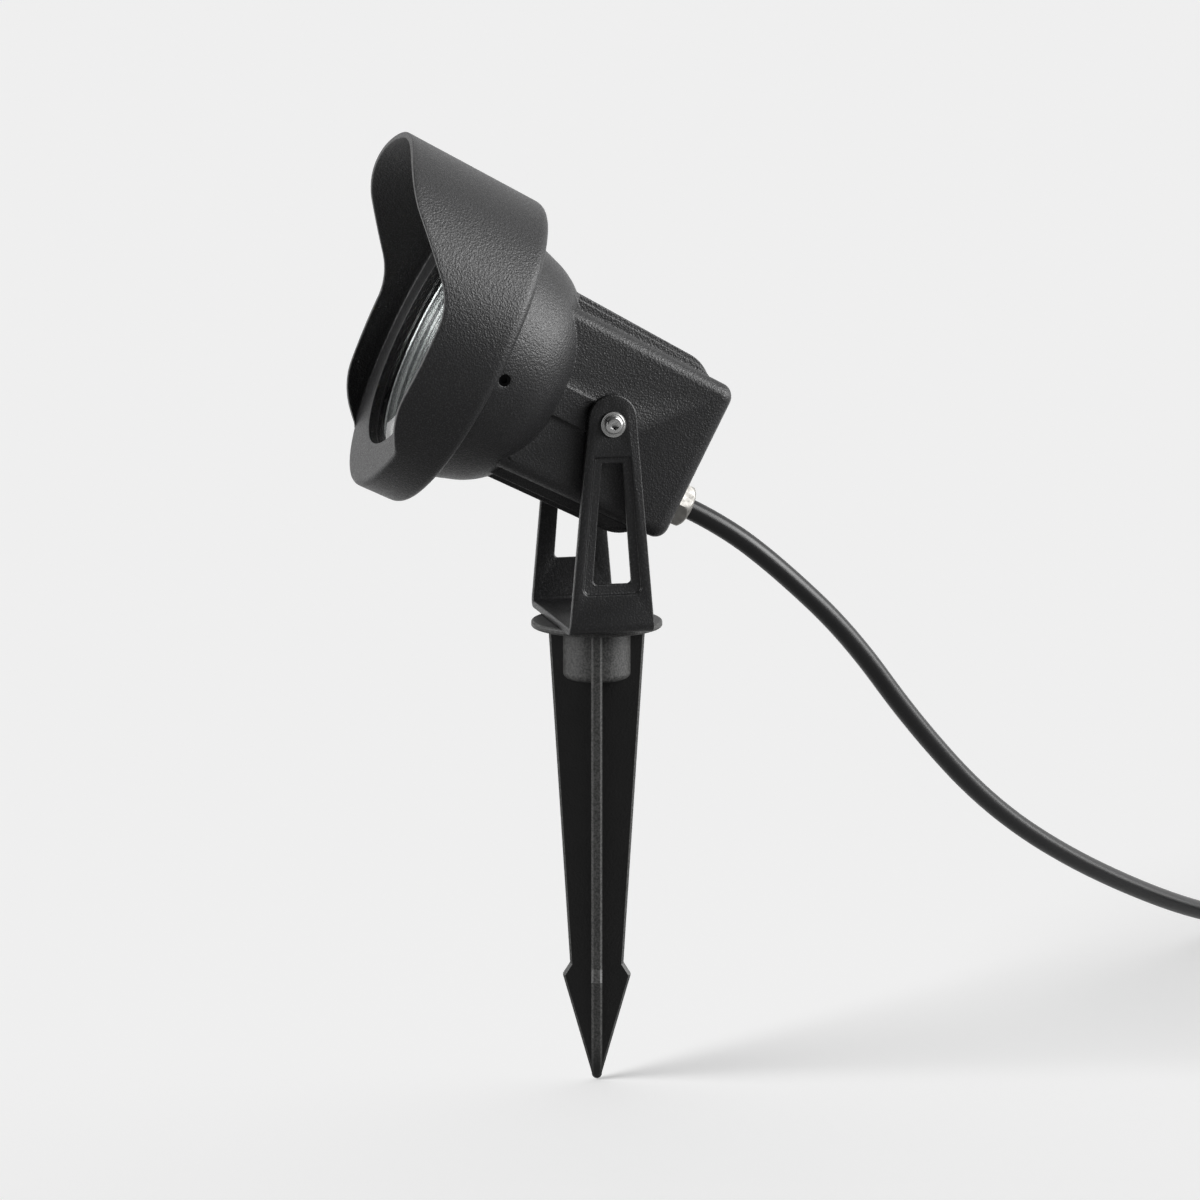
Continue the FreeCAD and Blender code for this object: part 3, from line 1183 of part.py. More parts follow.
def make_wires(lid_rear):
    """Cores between the lead, the terminals, the earth point and the LED."""
    radius = mm("wire_radius")
    rear_inside = -mm("rear_face") + mm("box_wall")
    sheath = rear_inside + mm("lead_inside")
    entry_y = -mm("block_low") / 2
    block_rear = mm(f"{lid_rear} - block_depth")
    drop = -mm("gland_drop")
    end, inside = mm("wire_lead_in"), mm("wire_in_block")
    for name, k in (("live_wire", -1), ("neutral_wire", 1)):
        entry, start = k * mm("block_pitch"), k * mm("wire_spread")
        path = [Vector(start, drop, sheath), Vector(start, drop, sheath + end),
                Vector(entry, entry_y, block_rear - end), Vector(entry, entry_y, block_rear + inside)]
        publish(name, feature_of(name + "_tube", tube(path, radius)[0]), HEAD)
    lug_z = rear_inside + mm("earth_boss_length + lug_thickness / 2") + end
    start_y = drop + mm("earth_wire_up")
    side = mm("earth_side")
    path = [Vector(0, start_y, sheath), Vector(0, start_y, sheath + end),
            Vector(mm("earth_wire_side"), -mm("earth_wire_low"), sheath - end),
            Vector(side, mm("earth_wire_high"), lug_z),
            Vector(side, mm("earth_up - lug_radius - slip_gap"), lug_z)]
    publish("earth_wire", feature_of("earth_wire_tube", tube(path, radius)[0]), HEAD)
    front, hole = mm("driver_front"), mm("wire_hole_place")
    rise = mm("ledge + led_plate_thickness + led_lead_rise")
    back = mm(f"{DRIVER_HALF} - led_wire_inset")
    for name, sign in (("led_lead_plus", -1), ("led_lead_minus", 1)):
        x = sign * mm("led_lead_spread")
        path = [Vector(x, back, mm("driver_board_place + board_thickness")),
                Vector(x, back, front + end), Vector(x, hole, front + 2 * end + radius),
                Vector(x, hole, rise), Vector(x, mm("holder_collar + slip_gap"), rise)]
        publish(name, feature_of(name + "_tube", tube(path, mm("led_lead_radius"))[0]), HEAD)


def make_earth_point(short):
    rear_inside = -mm("rear_face") + mm("box_wall")
    top = rear_inside + mm("earth_boss_length")
    side, up = mm("earth_side"), mm("earth_up")
    publish("earth_lug", ring("lug", "lug_radius", "small_shank_radius + small_bolt_gap", "0",
                              "lug_thickness"),
            HEAD * Placement(Vector(side, up, top), Rotation()))
    publish("earth_screw", copies("earth_point_screw", short, [
        Placement(Vector(side, up, top + mm("lug_thickness")), Rotation())]), HEAD)


def make_terminal_screws(short, lid_rear):
    height = mm("block_top")
    depth = mm(f"{lid_rear} - block_depth / 2")
    publish("terminal_screws", copies("block_screws", short, [
        Placement(Vector(k * mm("block_pitch"), height, depth), Rotation(Vector(1, 0, 0), -90))
        for k in (-1, 0, 1)]), HEAD)


# --------------------------------------------------------------------------- gland
def make_gland():
    """Gland on the back wall; in its own frame the lamp axis direction is +Z."""
    wall, inside = "(-rear_face)", "(-rear_face + box_wall)"
    seat = f"({wall} - gland_ring_thickness)"
    hex_end = f"({seat} - gland_flange)"
    nut_start = f"({hex_end} - gland_nut_gap)"
    nut_end = f"({nut_start} - gland_nut_length)"
    publish("gland_oring", ring("gland_ring", "gland_ring_radius",
                                "gland_thread_radius + gland_hole_gap", seat, wall), GLAND)
    body = new_body("gland_stem")
    add_pad(body, "gland_hexagon", "XY_Plane", hexagon("gland_flats", first=0), "gland_flange",
            offset=hex_end)
    collet, past = f"({nut_end} + gland_collet_end)", "overlap"
    add_turn(body, "gland_tube", [
        ("0", collet), ("gland_collet_radius", collet),
        ("gland_collet_radius", f"{hex_end} + {past}"), ("gland_thread_radius", f"{hex_end} + {past}"),
        ("gland_thread_radius", f"{inside} + gland_inside"), ("0", f"{inside} + gland_inside")])
    add_turn(body, "gland_bore", [
        ("0", f"{collet} - {past}"), ("gland_collet_bore", f"{collet} - {past}"),
        ("gland_collet_bore", seat), ("gland_bore", seat),
        ("gland_bore", f"{inside} + gland_inside + {past}"),
        ("0", f"{inside} + gland_inside + {past}")], kind="Groove")
    publish("gland_body", body, GLAND)
    nut = new_body("gland_cap")
    add_pad(nut, "cap_hexagon", "XY_Plane", hexagon("gland_flats", first=0), "gland_nut_hex",
            offset=f"{nut_start} - gland_nut_hex")
    add_turn(nut, "cap_dome", [
        ("0", f"{nut_start} - gland_nut_hex"), ("0", nut_end), ("gland_nut_end_radius", nut_end),
        ("gland_flats / 2", f"{nut_start} - gland_nut_hex", "left", "gland_nut_round")])
    add_turn(nut, "cap_bore", [
        ("0", f"{nut_end} - {past}"), ("lead_diameter / 2 + seal_gap", f"{nut_end} - {past}"),
        ("lead_diameter / 2 + seal_gap", f"{nut_end} + gland_cap_throat"),
        ("gland_collet_radius + slip_gap", f"{collet} - gland_seal_gap"),
        ("gland_collet_radius + slip_gap", f"{nut_start} + {past}"),
        ("0", f"{nut_start} + {past}")], kind="Groove")
    publish("gland_nut", nut, GLAND)
    publish("gland_seal", ring("rubber_seal", "gland_seal_radius", "lead_diameter / 2 + seal_gap",
                               f"{collet} + gland_seal_gap", f"{seat} - gland_seal_gap"), GLAND)
    locknut = new_body("locknut")
    add_pad(locknut, "locknut_hexagon", "XY_Plane", hexagon("locknut_flats"), "locknut_thickness",
            offset=inside)
    add_pocket(locknut, "locknut_bore", "XY_Plane", lambda s: draw_circle(
        s, "0", "0", "gland_thread_radius + thread_gap"))
    publish("gland_locknut", locknut, GLAND)
    publish("cable_end", turned("sheath_end", [
        ("0", nut_end), ("lead_diameter / 2", nut_end),
        ("lead_diameter / 2", f"{inside} + lead_inside"), ("0", f"{inside} + lead_inside")]), GLAND)
    return mm(nut_end)


# --------------------------------------------------------------------------- lead and coil
def lead_points(nut_end):
    """Control points of the free stretch, with the ground's height filled in."""
    resting = GROUND + mm("lead_diameter") / 2
    out = GLAND.Rotation.multVec(Vector(0, 0, -1))
    start = GLAND.multVec(Vector(0, 0, nut_end))
    points = [start, start + out * LEAD_FIRST_RUN]
    for x, y, z in LEAD_ROUTE:
        points.append(Vector(x, y, resting if z is None else z))
    return points


def biarc(p, along_p, q, along_q):
    """Two arcs that leave p along one direction and reach q along the other."""
    chord = q - p
    both = along_p + along_q
    a = 2 * (1 - along_p.dot(along_q))
    b = chord.dot(both)
    c = chord.dot(chord)
    reach = (math.sqrt(b * b + a * c) - b) / a
    knee_p, knee_q = p + along_p * reach, q - along_q * reach
    join = (knee_p + knee_q) * 0.5
    edges = []
    for start, knee, stop in ((p, knee_p, join), (join, knee_q, q)):
        half = (start - knee).getAngle(stop - knee) / 2
        inward = ((start - knee).normalize() + (stop - knee).normalize()).normalize()
        radius = (start - knee).Length * math.tan(half)
        middle = knee + inward * (radius / math.sin(half) - radius)
        edges.append(Part.Arc(start, middle, stop).toShape())
    return edges


def coil_point(quarter, centre, first_angle):
    """Place and direction on the coil after a number of quarter turns, clockwise from above."""
    inward, outward = mm("coil_turns_in"), mm("coil_turns_out")
    pitch, inner = mm("coil_pitch"), mm("coil_inner_radius")
    radius = inner + pitch / 4 * abs(quarter - inward)
    slope = pitch / 4 * (1 if quarter > inward else -1 if quarter < inward else 0)
    climb = min(max((quarter - inward + 1) / 2, 0.0), 1.0)
    height = GROUND + mm("lead_diameter") / 2 + pitch * climb * climb * (3 - 2 * climb)
    rise = pitch * 6 * climb * (1 - climb) / 2
    angle = first_angle - quarter * math.pi / 2
    out = Vector(math.cos(angle), math.sin(angle), 0)
    side = Vector(math.sin(angle), -math.cos(angle), 0)
    place = Vector(centre.x, centre.y, height) + out * radius
    heading = side * (radius * math.pi / 2) + out * slope + Vector(0, 0, rise)
    return place, heading.normalize()


def make_coil(entry, heading):
    """Coil of the length that isn't laid out: in on the ground, out again on top of itself."""
    diameter = mm("lead_diameter")
    quarters = int(mm("coil_turns_in") + mm("coil_turns_out"))
    radius = mm("coil_inner_radius") + mm("coil_pitch") / 4 * mm("coil_turns_in")
    right = Vector(heading.y, -heading.x, 0)
    begin = entry + heading * diameter
    centre = begin + right * radius
    first_angle = math.atan2(-right.y, -right.x)
    stations = [coil_point(k, centre, first_angle) for k in range(quarters + 1)]
    stations[0] = (begin, heading)
    edges = [Part.LineSegment(entry, begin).toShape()]
    for (p, along_p), (q, along_q) in zip(stations, stations[1:]):
        edges += biarc(p, along_p, q, along_q)
    last, away = stations[-1]
    away = Vector(away.x, away.y, 0).normalize()
    edges.append(Part.LineSegment(last, last + away * diameter).toShape())
    path = Part.Wire(edges)
    section = Part.Wire(Part.Circle(entry, heading, diameter / 2).toShape())
    solid = path.makePipeShell([section], True, False)
    expected = math.pi * diameter ** 2 / 4 * path.Length
    gap = least_gap(path, diameter)
    print(f"coil: {quarters / 4} turns, {path.Length:.0f} mm, least gap {gap:.2f} mm,"
          f" volume {solid.Volume:.0f} for {expected:.0f}, valid {solid.isValid()}")
    if gap < SMALLEST_GAP or abs(solid.Volume - expected) > TUBE_ERROR * expected:
        raise ValueError("the coil touches itself or its tube is not whole")
    return solid, path.Length, last + away * diameter, away


def least_gap(path, diameter):
    """Least gap of a tube to itself, measured on points along its path."""
    samples = path.discretize(Number=600)
    step = path.Length / (len(samples) - 1)
    skip = int(diameter * 3 / step)
    least = min((samples[i] - samples[j]).Length
                for i in range(len(samples)) for j in range(i + skip, len(samples)))
    return least - diameter


def make_plug(start, away):
    """Right-angled earthed plug standing on its back, pins up."""
    turn = math.degrees(math.atan2(away.y, away.x))
    along = Placement(start, Rotation(Vector(0, 0, 1), turn) * Rotation(Vector(0, 1, 0), 90))
    publish("plug_boot", turned("boot", [
        ("0", "0"), ("boot_end_radius", "0"), ("boot_root_radius", "boot_length"),
        ("0", "boot_length")]), along)
    centre = start + away * (mm("boot_length") + mm("plug_radius"))
    place = Placement(Vector(centre.x, centre.y, GROUND), Rotation(Vector(0, 0, 1), turn))
    body = new_body("plug")
    add_turn(body, "plug_turn", [
        ("0", "0"), ("plug_radius - plug_round", "0"),
        ("plug_radius", "plug_round", "left", "plug_round"), ("plug_radius", "plug_height - plug_edge"),
        ("plug_radius - plug_edge", "plug_height"), ("plug_face_radius", "plug_height"),
        ("plug_face_radius", "plug_height - plug_face_recess"),
        ("0", "plug_height - plug_face_recess")])

    def slots(sketch):
        for sign in ("", "-"):
            inner = f"{sign}(plug_radius - clip_slot_depth)"
            outer = f"{sign}(plug_radius + overlap)"
            draw_outline(sketch, [
                ("-clip_slot_width / 2", inner), ("clip_slot_width / 2", inner),
                ("clip_slot_width / 2", outer), ("-clip_slot_width / 2", outer)])

    add_pocket(body, "clip_slots", "XY_Plane", slots, length="clip_slot_height + overlap",
               offset="plug_height + overlap")
    flat = start.z - GROUND
    seat = doc.addObject("Part::Cylinder", "boot_socket")
    bind(seat, "Radius", "boot_root_radius")
    bind(seat, "Height", "boot_socket_length")
    seat.Placement = Placement(Vector(-mm("plug_radius"), 0, flat), Rotation(Vector(0, 1, 0), 90))
    neck = fuse("plug_neck", [body, seat])
    publish("plug_body", neck, place)
    pin = turned("pin", [
        ("0", "0"), ("plug_pin_radius", "0"), ("plug_pin_radius", "plug_pin_length - plug_pin_round"),
        ("plug_pin_radius - plug_pin_round", "plug_pin_length", "left", "plug_pin_round"),
        ("0", "plug_pin_length")])
    face = mm("plug_height - plug_face_recess")
    half = mm("plug_pin_spacing / 2")
    publish("plug_pins", copies("pins", pin, [
        Placement(Vector(x, 0, face), Rotation()) for x in (-half, half)]), place)
    clip = doc.addObject("Part::Box", "clip")
    bind(clip, "Length", "clip_width")
    bind(clip, "Width", "clip_thickness")
    bind(clip, "Height", "clip_slot_height - clip_below")
    low = mm("plug_height - clip_slot_height")
    side = mm("plug_radius - clip_slot_depth")
    left = -mm("clip_width") / 2
    publish("plug_earth_clips", copies("clips", clip, [
        Placement(Vector(left, side, low), Rotation()),
        Placement(Vector(-left, -side, low), Rotation(Vector(0, 0, 1), 180))]), place)
    for x in (-half, half):
        middle = place.multVec(Vector(x, 0, face + mm("plug_pin_length - plug_pin_round") / 2))
        print(f"plug pin, middle of its straight part: {middle.x:.3f} {middle.y:.3f} {middle.z:.3f}")


def make_lead(nut_end):
    points = lead_points(nut_end)
    radius = mm("lead_diameter") / 2
    solid, length, radii = tube(points, radius)
    print("lead: radii", [round(r) for r in radii], f"length {length:.0f} mm,"
          f" volume {solid.Volume:.0f} for {math.pi * radius ** 2 * length:.0f}")
    publish("cable", feature_of("lead_tube", solid))
    heading = (points[-1] - points[-2]).normalize()
    coil, coil_length, end, away = make_coil(points[-1], heading)
    publish("cable_coil", feature_of("lead_coil", coil))
    print(f"lead in all {length + coil_length:.0f} mm; route", [tuple(round(c, 2) for c in p)
                                                                for p in points])
    make_plug(end, away)


# --------------------------------------------------------------------------- the whole lamp
def main():
    make_spike()
    make_swivel_fixing()
    make_bracket()
    make_housing()
    make_collar()
    make_hood()
    make_set_screws()
    make_pivot()
    make_optics()
    small = make_led()
    lid_rear = make_driver(small)
    short = make_small_short_screw()
    make_wires(lid_rear)
    make_earth_point(short)
    make_terminal_screws(short, lid_rear)
    make_lead(make_gland())
    doc.recompute()
    check_and_write()


def check_and_write():
    faults = [thing.Name for thing in doc.Objects
              if "Invalid" in thing.State or "Error" in thing.State]
    for thing in doc.Objects:
        if thing.TypeId in ("PartDesign::Pocket", "PartDesign::Groove"):
            if thing.Shape.Volume > thing.BaseFeature.Shape.Volume - TOLERANCE:
                faults.append(thing.Name + " cuts nothing")
    for name, thing in nodes.items():
        if thing.Shape.isNull() or not thing.Shape.isValid() or not thing.Shape.Solids:
            faults.append(name)
    if faults:
        raise ValueError(f"not built: {faults}")
    os.makedirs("parts", exist_ok=True)
    for name, thing in nodes.items():
        thing.Shape.exportStep(f"parts/{name}.step")
        box = thing.Shape.BoundBox
        print(f"{name}: {len(thing.Shape.Solids)} solid(s), {thing.Shape.Volume:.0f} mm3,"
              f" x {box.XMin:.1f}..{box.XMax:.1f} y {box.YMin:.1f}..{box.YMax:.1f}"
              f" z {box.ZMin:.1f}..{box.ZMax:.1f}")
    print(len(nodes), "nodes")


main()
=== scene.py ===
"""Looks of the garden spike spotlight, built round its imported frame.

Metres, in the frame of the model: +Z up, origin on the spike's axis at the underside of the
flange.  The lamp head has a frame of its own, with its origin on the pivot, Z along the lamp axis
towards the glass and Y up; HEAD takes it to the model.  Radii, heights and reaches on the head are
in that frame.
"""

import bmesh
import bpy
import json
import math
from mathutils import Matrix, Vector


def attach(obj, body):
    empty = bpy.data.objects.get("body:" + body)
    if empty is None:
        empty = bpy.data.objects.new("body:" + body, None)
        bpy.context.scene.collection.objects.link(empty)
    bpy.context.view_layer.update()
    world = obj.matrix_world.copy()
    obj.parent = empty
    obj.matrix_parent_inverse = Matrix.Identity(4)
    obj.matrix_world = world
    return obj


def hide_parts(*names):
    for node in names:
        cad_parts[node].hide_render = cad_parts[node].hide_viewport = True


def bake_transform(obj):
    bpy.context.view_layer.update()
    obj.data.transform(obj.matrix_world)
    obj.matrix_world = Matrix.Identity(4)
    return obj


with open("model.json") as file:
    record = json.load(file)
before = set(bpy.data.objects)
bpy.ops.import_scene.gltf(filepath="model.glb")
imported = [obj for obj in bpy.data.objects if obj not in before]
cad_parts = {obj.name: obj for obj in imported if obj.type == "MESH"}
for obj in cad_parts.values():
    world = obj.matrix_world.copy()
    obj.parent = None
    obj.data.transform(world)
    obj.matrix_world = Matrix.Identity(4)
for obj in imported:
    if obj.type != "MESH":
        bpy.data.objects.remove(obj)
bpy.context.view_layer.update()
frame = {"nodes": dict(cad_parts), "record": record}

# --------------------------------------------------------------------------- sizes, millimetres
MM = 0.001
TILT = 27.0                     # degrees that the lamp looks up
PIVOT = Vector((0.0, -1.9, 78.1)) * MM
HEAD = Matrix.Translation(PIVOT) @ Matrix.Rotation(math.radians(90.0 - TILT), 4, "X")
FLOOR = -172.1                  # at the spike's tip, and under the lead
LEAD_DIAMETER = 7.8
# Control points of the lead's free stretch, from the gland's nut to the ground.
LEAD_ROUTE = [
    (0.0, 34.10, 42.36),
    (0.0, 48.18, 35.19),
    (-3.2, 70.6, 17.8),
    (-12.0, 100.6, -9.8),
    (-24.5, 131.2, -48.5),
    (-42.0, 168.0, -86.0),
    (-66.0, 212.0, -116.6),
    (-104.0, 271.0, -148.2),
    (-140.0, 318.0, -168.2),
    (-161.0, 346.0, -168.2),
]
COIL_QUARTERS_IN = 7
COIL_QUARTERS_OUT = 7
COIL_INNER_RADIUS = 38.5
COIL_PITCH = 8.3
COIL_STEPS = 6                  # control points to a quarter turn
LEAD_ROWS = 8                   # rows of the tube to each control point
LEAD_ROUNDNESS = 5
LEAD_CLEARANCE = 0.05           # round the lead in the gland's nut

HOOD_REAR = 50.2
HOOD_RADIUS = 59.1
HOOD_FLARE = 1.25
HOOD_REACH = 106.1
HOOD_EDGE_ROUND = 3.9
VISOR_WALL = 2.3
VISOR_EASE = 0.45
VISOR_ROOT = 0.8
BEZEL_FACE = 68.0
BEZEL_LIP = 3.0
BEZEL_EASE = 0.35
APERTURE = 43.5
LOWER_LIP_ROUND = 2.0
LIP_FADE = 3.0
GLASS_SEAT = 60.4
GLASS_BORE = 45.2
HOOD_THREAD = 47.5
HOOD_COLUMNS = 360
# Points of the hood's section: round its rear edge, up its outside, round the rim, down its inside,
# over the bezel's face, and round each small corner.
HOOD_REAR_STEPS = 8
HOOD_OUTER_STEPS = 20
HOOD_RIM_STEPS = 4
HOOD_INNER_STEPS = 14
HOOD_FACE_STEPS = 3
CORNER_STEPS = 3

EAR_FACE = 32.2                 # outer face of the bracket's ears
# Head radius and height, shank radius and length, socket's flats and depth of two screws.
PIVOT_SCREW = (3.5, 2.75, 2.47, 11.0, 3.0, 1.8)
SWIVEL_BOLT = (5.6, 3.6, 2.9, 15.0, 4.0, 2.2)
PIVOT_FLANGE = (4.6, 0.9, 0.25)     # radius, height, and the hollow round the button
SWIVEL_SEAT = 7.5               # height at which the bolt's head sits
BUTTON_SIDE = 0.25              # straight side of a button head, share of its height
BUTTON_FLAT = 0.62              # its flat top, share of its radius
BUTTON_STEPS = 6
SCREW_TIP = 0.4
SCREW_COLUMNS = 96
SOCKET_EASE = 0.12
SOCKET_POINT = 6                # its flats over the depth of its drilled point

GLAND_DROP = 15.5               # below the lamp axis
GLAND_FLATS = 15.4
GLAND_NUT_START = 42.2          # behind the pivot
GLAND_NUT_LENGTH = 6.1
GLAND_NUT_EASE = 0.25
GLAND_NUT_FACE = 0.5            # its open end's radius, past the flats
GLAND_DOME_START = 1.6
GLAND_NUT_END = 5.4             # radius at the dome's end
GLAND_NUT_BORE = 6.2
GLAND_NUT_THROAT = 4.1          # depth to which the bore narrows to the lead
GLAND_NUT_CONE = 1.0
GLAND_NUT_LIP = 0.3
GLAND_NUT_STEPS = 16
GLAND_NUT_COLUMNS = 120

THROAT_RADIUS = 9.4
BOWL_MOUTH = 41.2
BOWL_BASE = 39.3
BOWL_RISE = 20.4
BOWL_WALL = 0.8
BOWL_TERRACES = 14
BOWL_TERRACE_DEPTH = 0.5
BOWL_TERRACE_ROWS = 10
BOWL_COLUMNS = 144
BOWL_SEAM = 0.001               # share of the grid; so near to the wall's ends its faces meet
BOWL_SEWN = 0.005

WASHER_TEETH = 14
WASHER_RING = 3.75
WASHER_WIDTH = 1.7
WASHER_THICKNESS = 0.34
WASHER_TOOTH_RADIUS = 4.7
WASHER_TOOTH = (0.9, 0.7, 0.3)
WASHER_TWIST = 14.0
WASHER_PLACE = 29.45            # out from the middle of the lamp
WASHER_FACETS = 72

BOOT_LENGTH = 30.0
BOOT_END = 4.3
BOOT_ROOT = 6.2
BOOT_RIBS = 9
BOOT_PITCH = 2.9
BOOT_FIRST_RIB = 3.2
BOOT_RIB_RADIUS = 0.75
BOOT_FACETS = 48
BOOT_RIB_FACETS = 12

# CAD nodes whose sharp edges the finish rounds: how far, and in how many steps.
EASED = {
    "housing": (0.4, 2),
    "yoke_bracket": (0.6, 3),
    "hood_collar": (0.3, 2),
    "gland_body": (0.3, 2),
}
EASED_FROM = 30.0               # degrees; only a sharper edge is rounded
EASED_FLAT = 0.6                # degrees; flatter joins of triangles are dissolved first
EASED_MERGE = 0.02
TURNED_MERGE = 0.002

# The visor's edge over the height above the lamp axis: a height and the reach there, and for a
# curved stretch up to that height its radius, and whether its centre lies ahead of the edge.
VISOR_EDGE = [
    (-42.4, 68.0, None, False),
    (-38.0, 71.3, None, False),
    (-22.0, 76.9, 27.9, False),
    (3.0, 77.6, None, False),
    (19.0, 83.7, 24.0, True),
    (34.2, 97.1, None, False),
    (56.0, 105.9, 34.4, False),
]

# --------------------------------------------------------------------------- camera and light
CAMERA_PLACE = Vector((1222.8, -296.8, 233.2)) * MM
CAMERA_HEADING = Vector((-0.9716, 0.2368, 0.0)).normalized()
CAMERA_PITCH = 10.078           # degrees that it looks down
CAMERA_LENS = 105.0
CAMERA_SENSOR = 36.0
CAMERA_SEES = 500.0             # metres
# Each softbox: the direction towards it, its strength, its width in degrees, and whether the floor
# is all that it lights (INCLUDE), or all that it leaves dark (EXCLUDE).
SOFTBOXES = {
    "left": ((0.10, -0.95, 0.28), 2.7, 45.0, "EXCLUDE"),
    "right": ((0.45, 0.72, 0.46), 2.5, 42.0, "EXCLUDE"),
    "low_right": ((0.25, 0.95, 0.15), 2.6, 45.0, "EXCLUDE"),
    "paper": ((0.14, -0.90, 0.42), 3.3, 36.0, "INCLUDE"),
}
BACKDROP_LIGHT = 0.9
BACKGROUND = "#EEEEEE"
PAPER = "#E6E6E6"
PAPER_GLOW = 0.27
PAPER_FOR_THE_LAMP = "#6A6A6A"
PAPER_HALF = 200.0              # metres
PAPER_GAP = 0.3                 # under the lead
# Along the camera's heading, where the pale side starts and where it is whole: the cosine of a
# direction in the world, and metres on the floor, whose near side keeps a least share.
BACKDROP_EDGES = (-0.1, 0.6)
PAPER_EDGES = (-0.1, 0.5)
PAPER_LEAST = 0.25


def linear(code):
    """Linear RGBA of an sRGB hex colour."""
    parts = [int(code[i:i + 2], 16) / 255.0 for i in (1, 3, 5)]
    straight = [c / 12.92 if c <= 0.04045 else ((c + 0.055) / 1.055) ** 2.4 for c in parts]
    return (*straight, 1.0)


def add(tree, kind, sockets=None, **settings):
    """Add a node, set its properties, and set or link its input sockets."""
    item = tree.nodes.new(kind)
    for key, value in settings.items():
        setattr(item, key, value)
    for key, value in (sockets or {}).items():
        sources = value if isinstance(value, list) else [value]
        for source in sources:
            if isinstance(source, bpy.types.NodeSocket):
                tree.links.new(source, item.inputs[key])
            else:
                item.inputs[key].default_value = source
    return item


def place_in_scene(name, data):
    """New object at the origin."""
    thing = bpy.data.objects.new(name, data)
    bpy.context.scene.collection.objects.link(thing)
    return thing


def aim(thing, direction):
    """Turn an object so that its -Z axis points along a direction."""
    thing.rotation_mode = "QUATERNION"
    thing.rotation_quaternion = direction.to_track_quat("-Z", "Y")


def make_camera():
    """Camera that sees the lamp from its left side, a little from above."""
    data = bpy.data.cameras.new("camera")
    data.lens = CAMERA_LENS
    data.sensor_width = CAMERA_SENSOR
    data.clip_end = CAMERA_SEES
    camera = place_in_scene("camera", data)
    camera.location = CAMERA_PLACE
    pitch = math.radians(CAMERA_PITCH)
    aim(camera, CAMERA_HEADING * math.cos(pitch) - Vector((0, 0, math.sin(pitch))))
    bpy.context.scene.camera = camera


def make_softbox(name, direction, strength, width):
    """Far, soft light from a direction, as wide as a softbox of that many degrees."""
    data = bpy.data.lights.new(name, "SUN")
    data.energy = strength
    data.angle = math.radians(width)
    lamp = place_in_scene(name, data)
    aim(lamp, -direction)
    return lamp


def backdrop_share(tree, direction, edges, least=0.0):
    """How far a direction or place lies on the backdrop's side, from a least share to 1."""
    behind = add(tree, "ShaderNodeVectorMath", {0: direction, 1: CAMERA_HEADING},
                 operation="DOT_PRODUCT")
    return add(tree, "ShaderNodeMapRange", {
        "Value": behind.outputs["Value"], "From Min": edges[0], "From Max": edges[1],
        "To Min": least}, interpolation_type="SMOOTHSTEP").outputs[0]


def pale_for(tree, share):
    """1 for rays from the camera and through glass, and the backdrop's share for mirrored ones."""
    path = add(tree, "ShaderNodeLightPath")
    mirrored = add(tree, "ShaderNodeMath", {0: path.outputs["Is Glossy Ray"], 1: share},
                   operation="MULTIPLY")
    through = add(tree, "ShaderNodeMath", {
        0: path.outputs["Is Camera Ray"], 1: path.outputs["Is Transmission Ray"]},
        operation="MAXIMUM")
    return add(tree, "ShaderNodeMath", {0: through.outputs[0], 1: mirrored.outputs[0]},
               operation="MAXIMUM").outputs[0]


def make_world():
    """Pale backdrop behind the lamp, seen by the camera, in glass and in metal, that also lights
    the lamp a little; no light comes from the camera's side."""
    world = bpy.data.worlds.new("studio")
    world.use_nodes = True
    tree = world.node_tree
    tree.nodes.clear()
    direction = add(tree, "ShaderNodeTexCoord").outputs["Generated"]
    share = backdrop_share(tree, direction, BACKDROP_EDGES)
    strength = add(tree, "ShaderNodeMath", {0: share, 1: BACKDROP_LIGHT}, operation="MULTIPLY")
    light = add(tree, "ShaderNodeBackground", {
        "Color": linear("#FFFFFF"), "Strength": strength.outputs[0]})
    seen = add(tree, "ShaderNodeBackground", {"Color": linear(BACKGROUND), "Strength": 1.0})
    mix = add(tree, "ShaderNodeMixShader", {
        0: pale_for(tree, share), 1: light.outputs[0], 2: seen.outputs[0]})
    add(tree, "ShaderNodeOutputWorld", {"Surface": mix.outputs[0]})
    bpy.context.scene.world = world


def make_floor():
    """Pale paper as far as the camera sees. It keeps the lamp's shadow. What is seen of it,
    straight or in metal and glass, is lifted by a glow; the lamp gets less light back from it."""
    low = (FLOOR - PAPER_GAP) * MM
    mesh = bpy.data.meshes.new("floor")
    corners = [(x * PAPER_HALF, y * PAPER_HALF, low)
               for x, y in ((-1, -1), (1, -1), (1, 1), (-1, 1))]
    mesh.from_pydata(corners, [], [(0, 1, 2, 3)])
    floor = place_in_scene("floor", mesh)
    material = bpy.data.materials.new("studio_paper")
    material.use_nodes = True
    tree = material.node_tree
    tree.nodes.clear()
    paper = add(tree, "ShaderNodeBsdfDiffuse", {"Color": linear(PAPER)})
    glow = add(tree, "ShaderNodeEmission", {"Color": linear("#FFFFFF"), "Strength": PAPER_GLOW})
    seen = add(tree, "ShaderNodeAddShader", {0: paper.outputs[0], 1: glow.outputs[0]})
    dim = add(tree, "ShaderNodeBsdfDiffuse", {"Color": linear(PAPER_FOR_THE_LAMP)})
    place = add(tree, "ShaderNodeTexCoord").outputs["Object"]
    share = backdrop_share(tree, place, PAPER_EDGES, PAPER_LEAST)
    mix = add(tree, "ShaderNodeMixShader", {
        0: pale_for(tree, share), 1: dim.outputs[0], 2: seen.outputs[0]})
    add(tree, "ShaderNodeOutputMaterial", {"Surface": mix.outputs[0]})
    mesh.materials.append(material)
    return floor


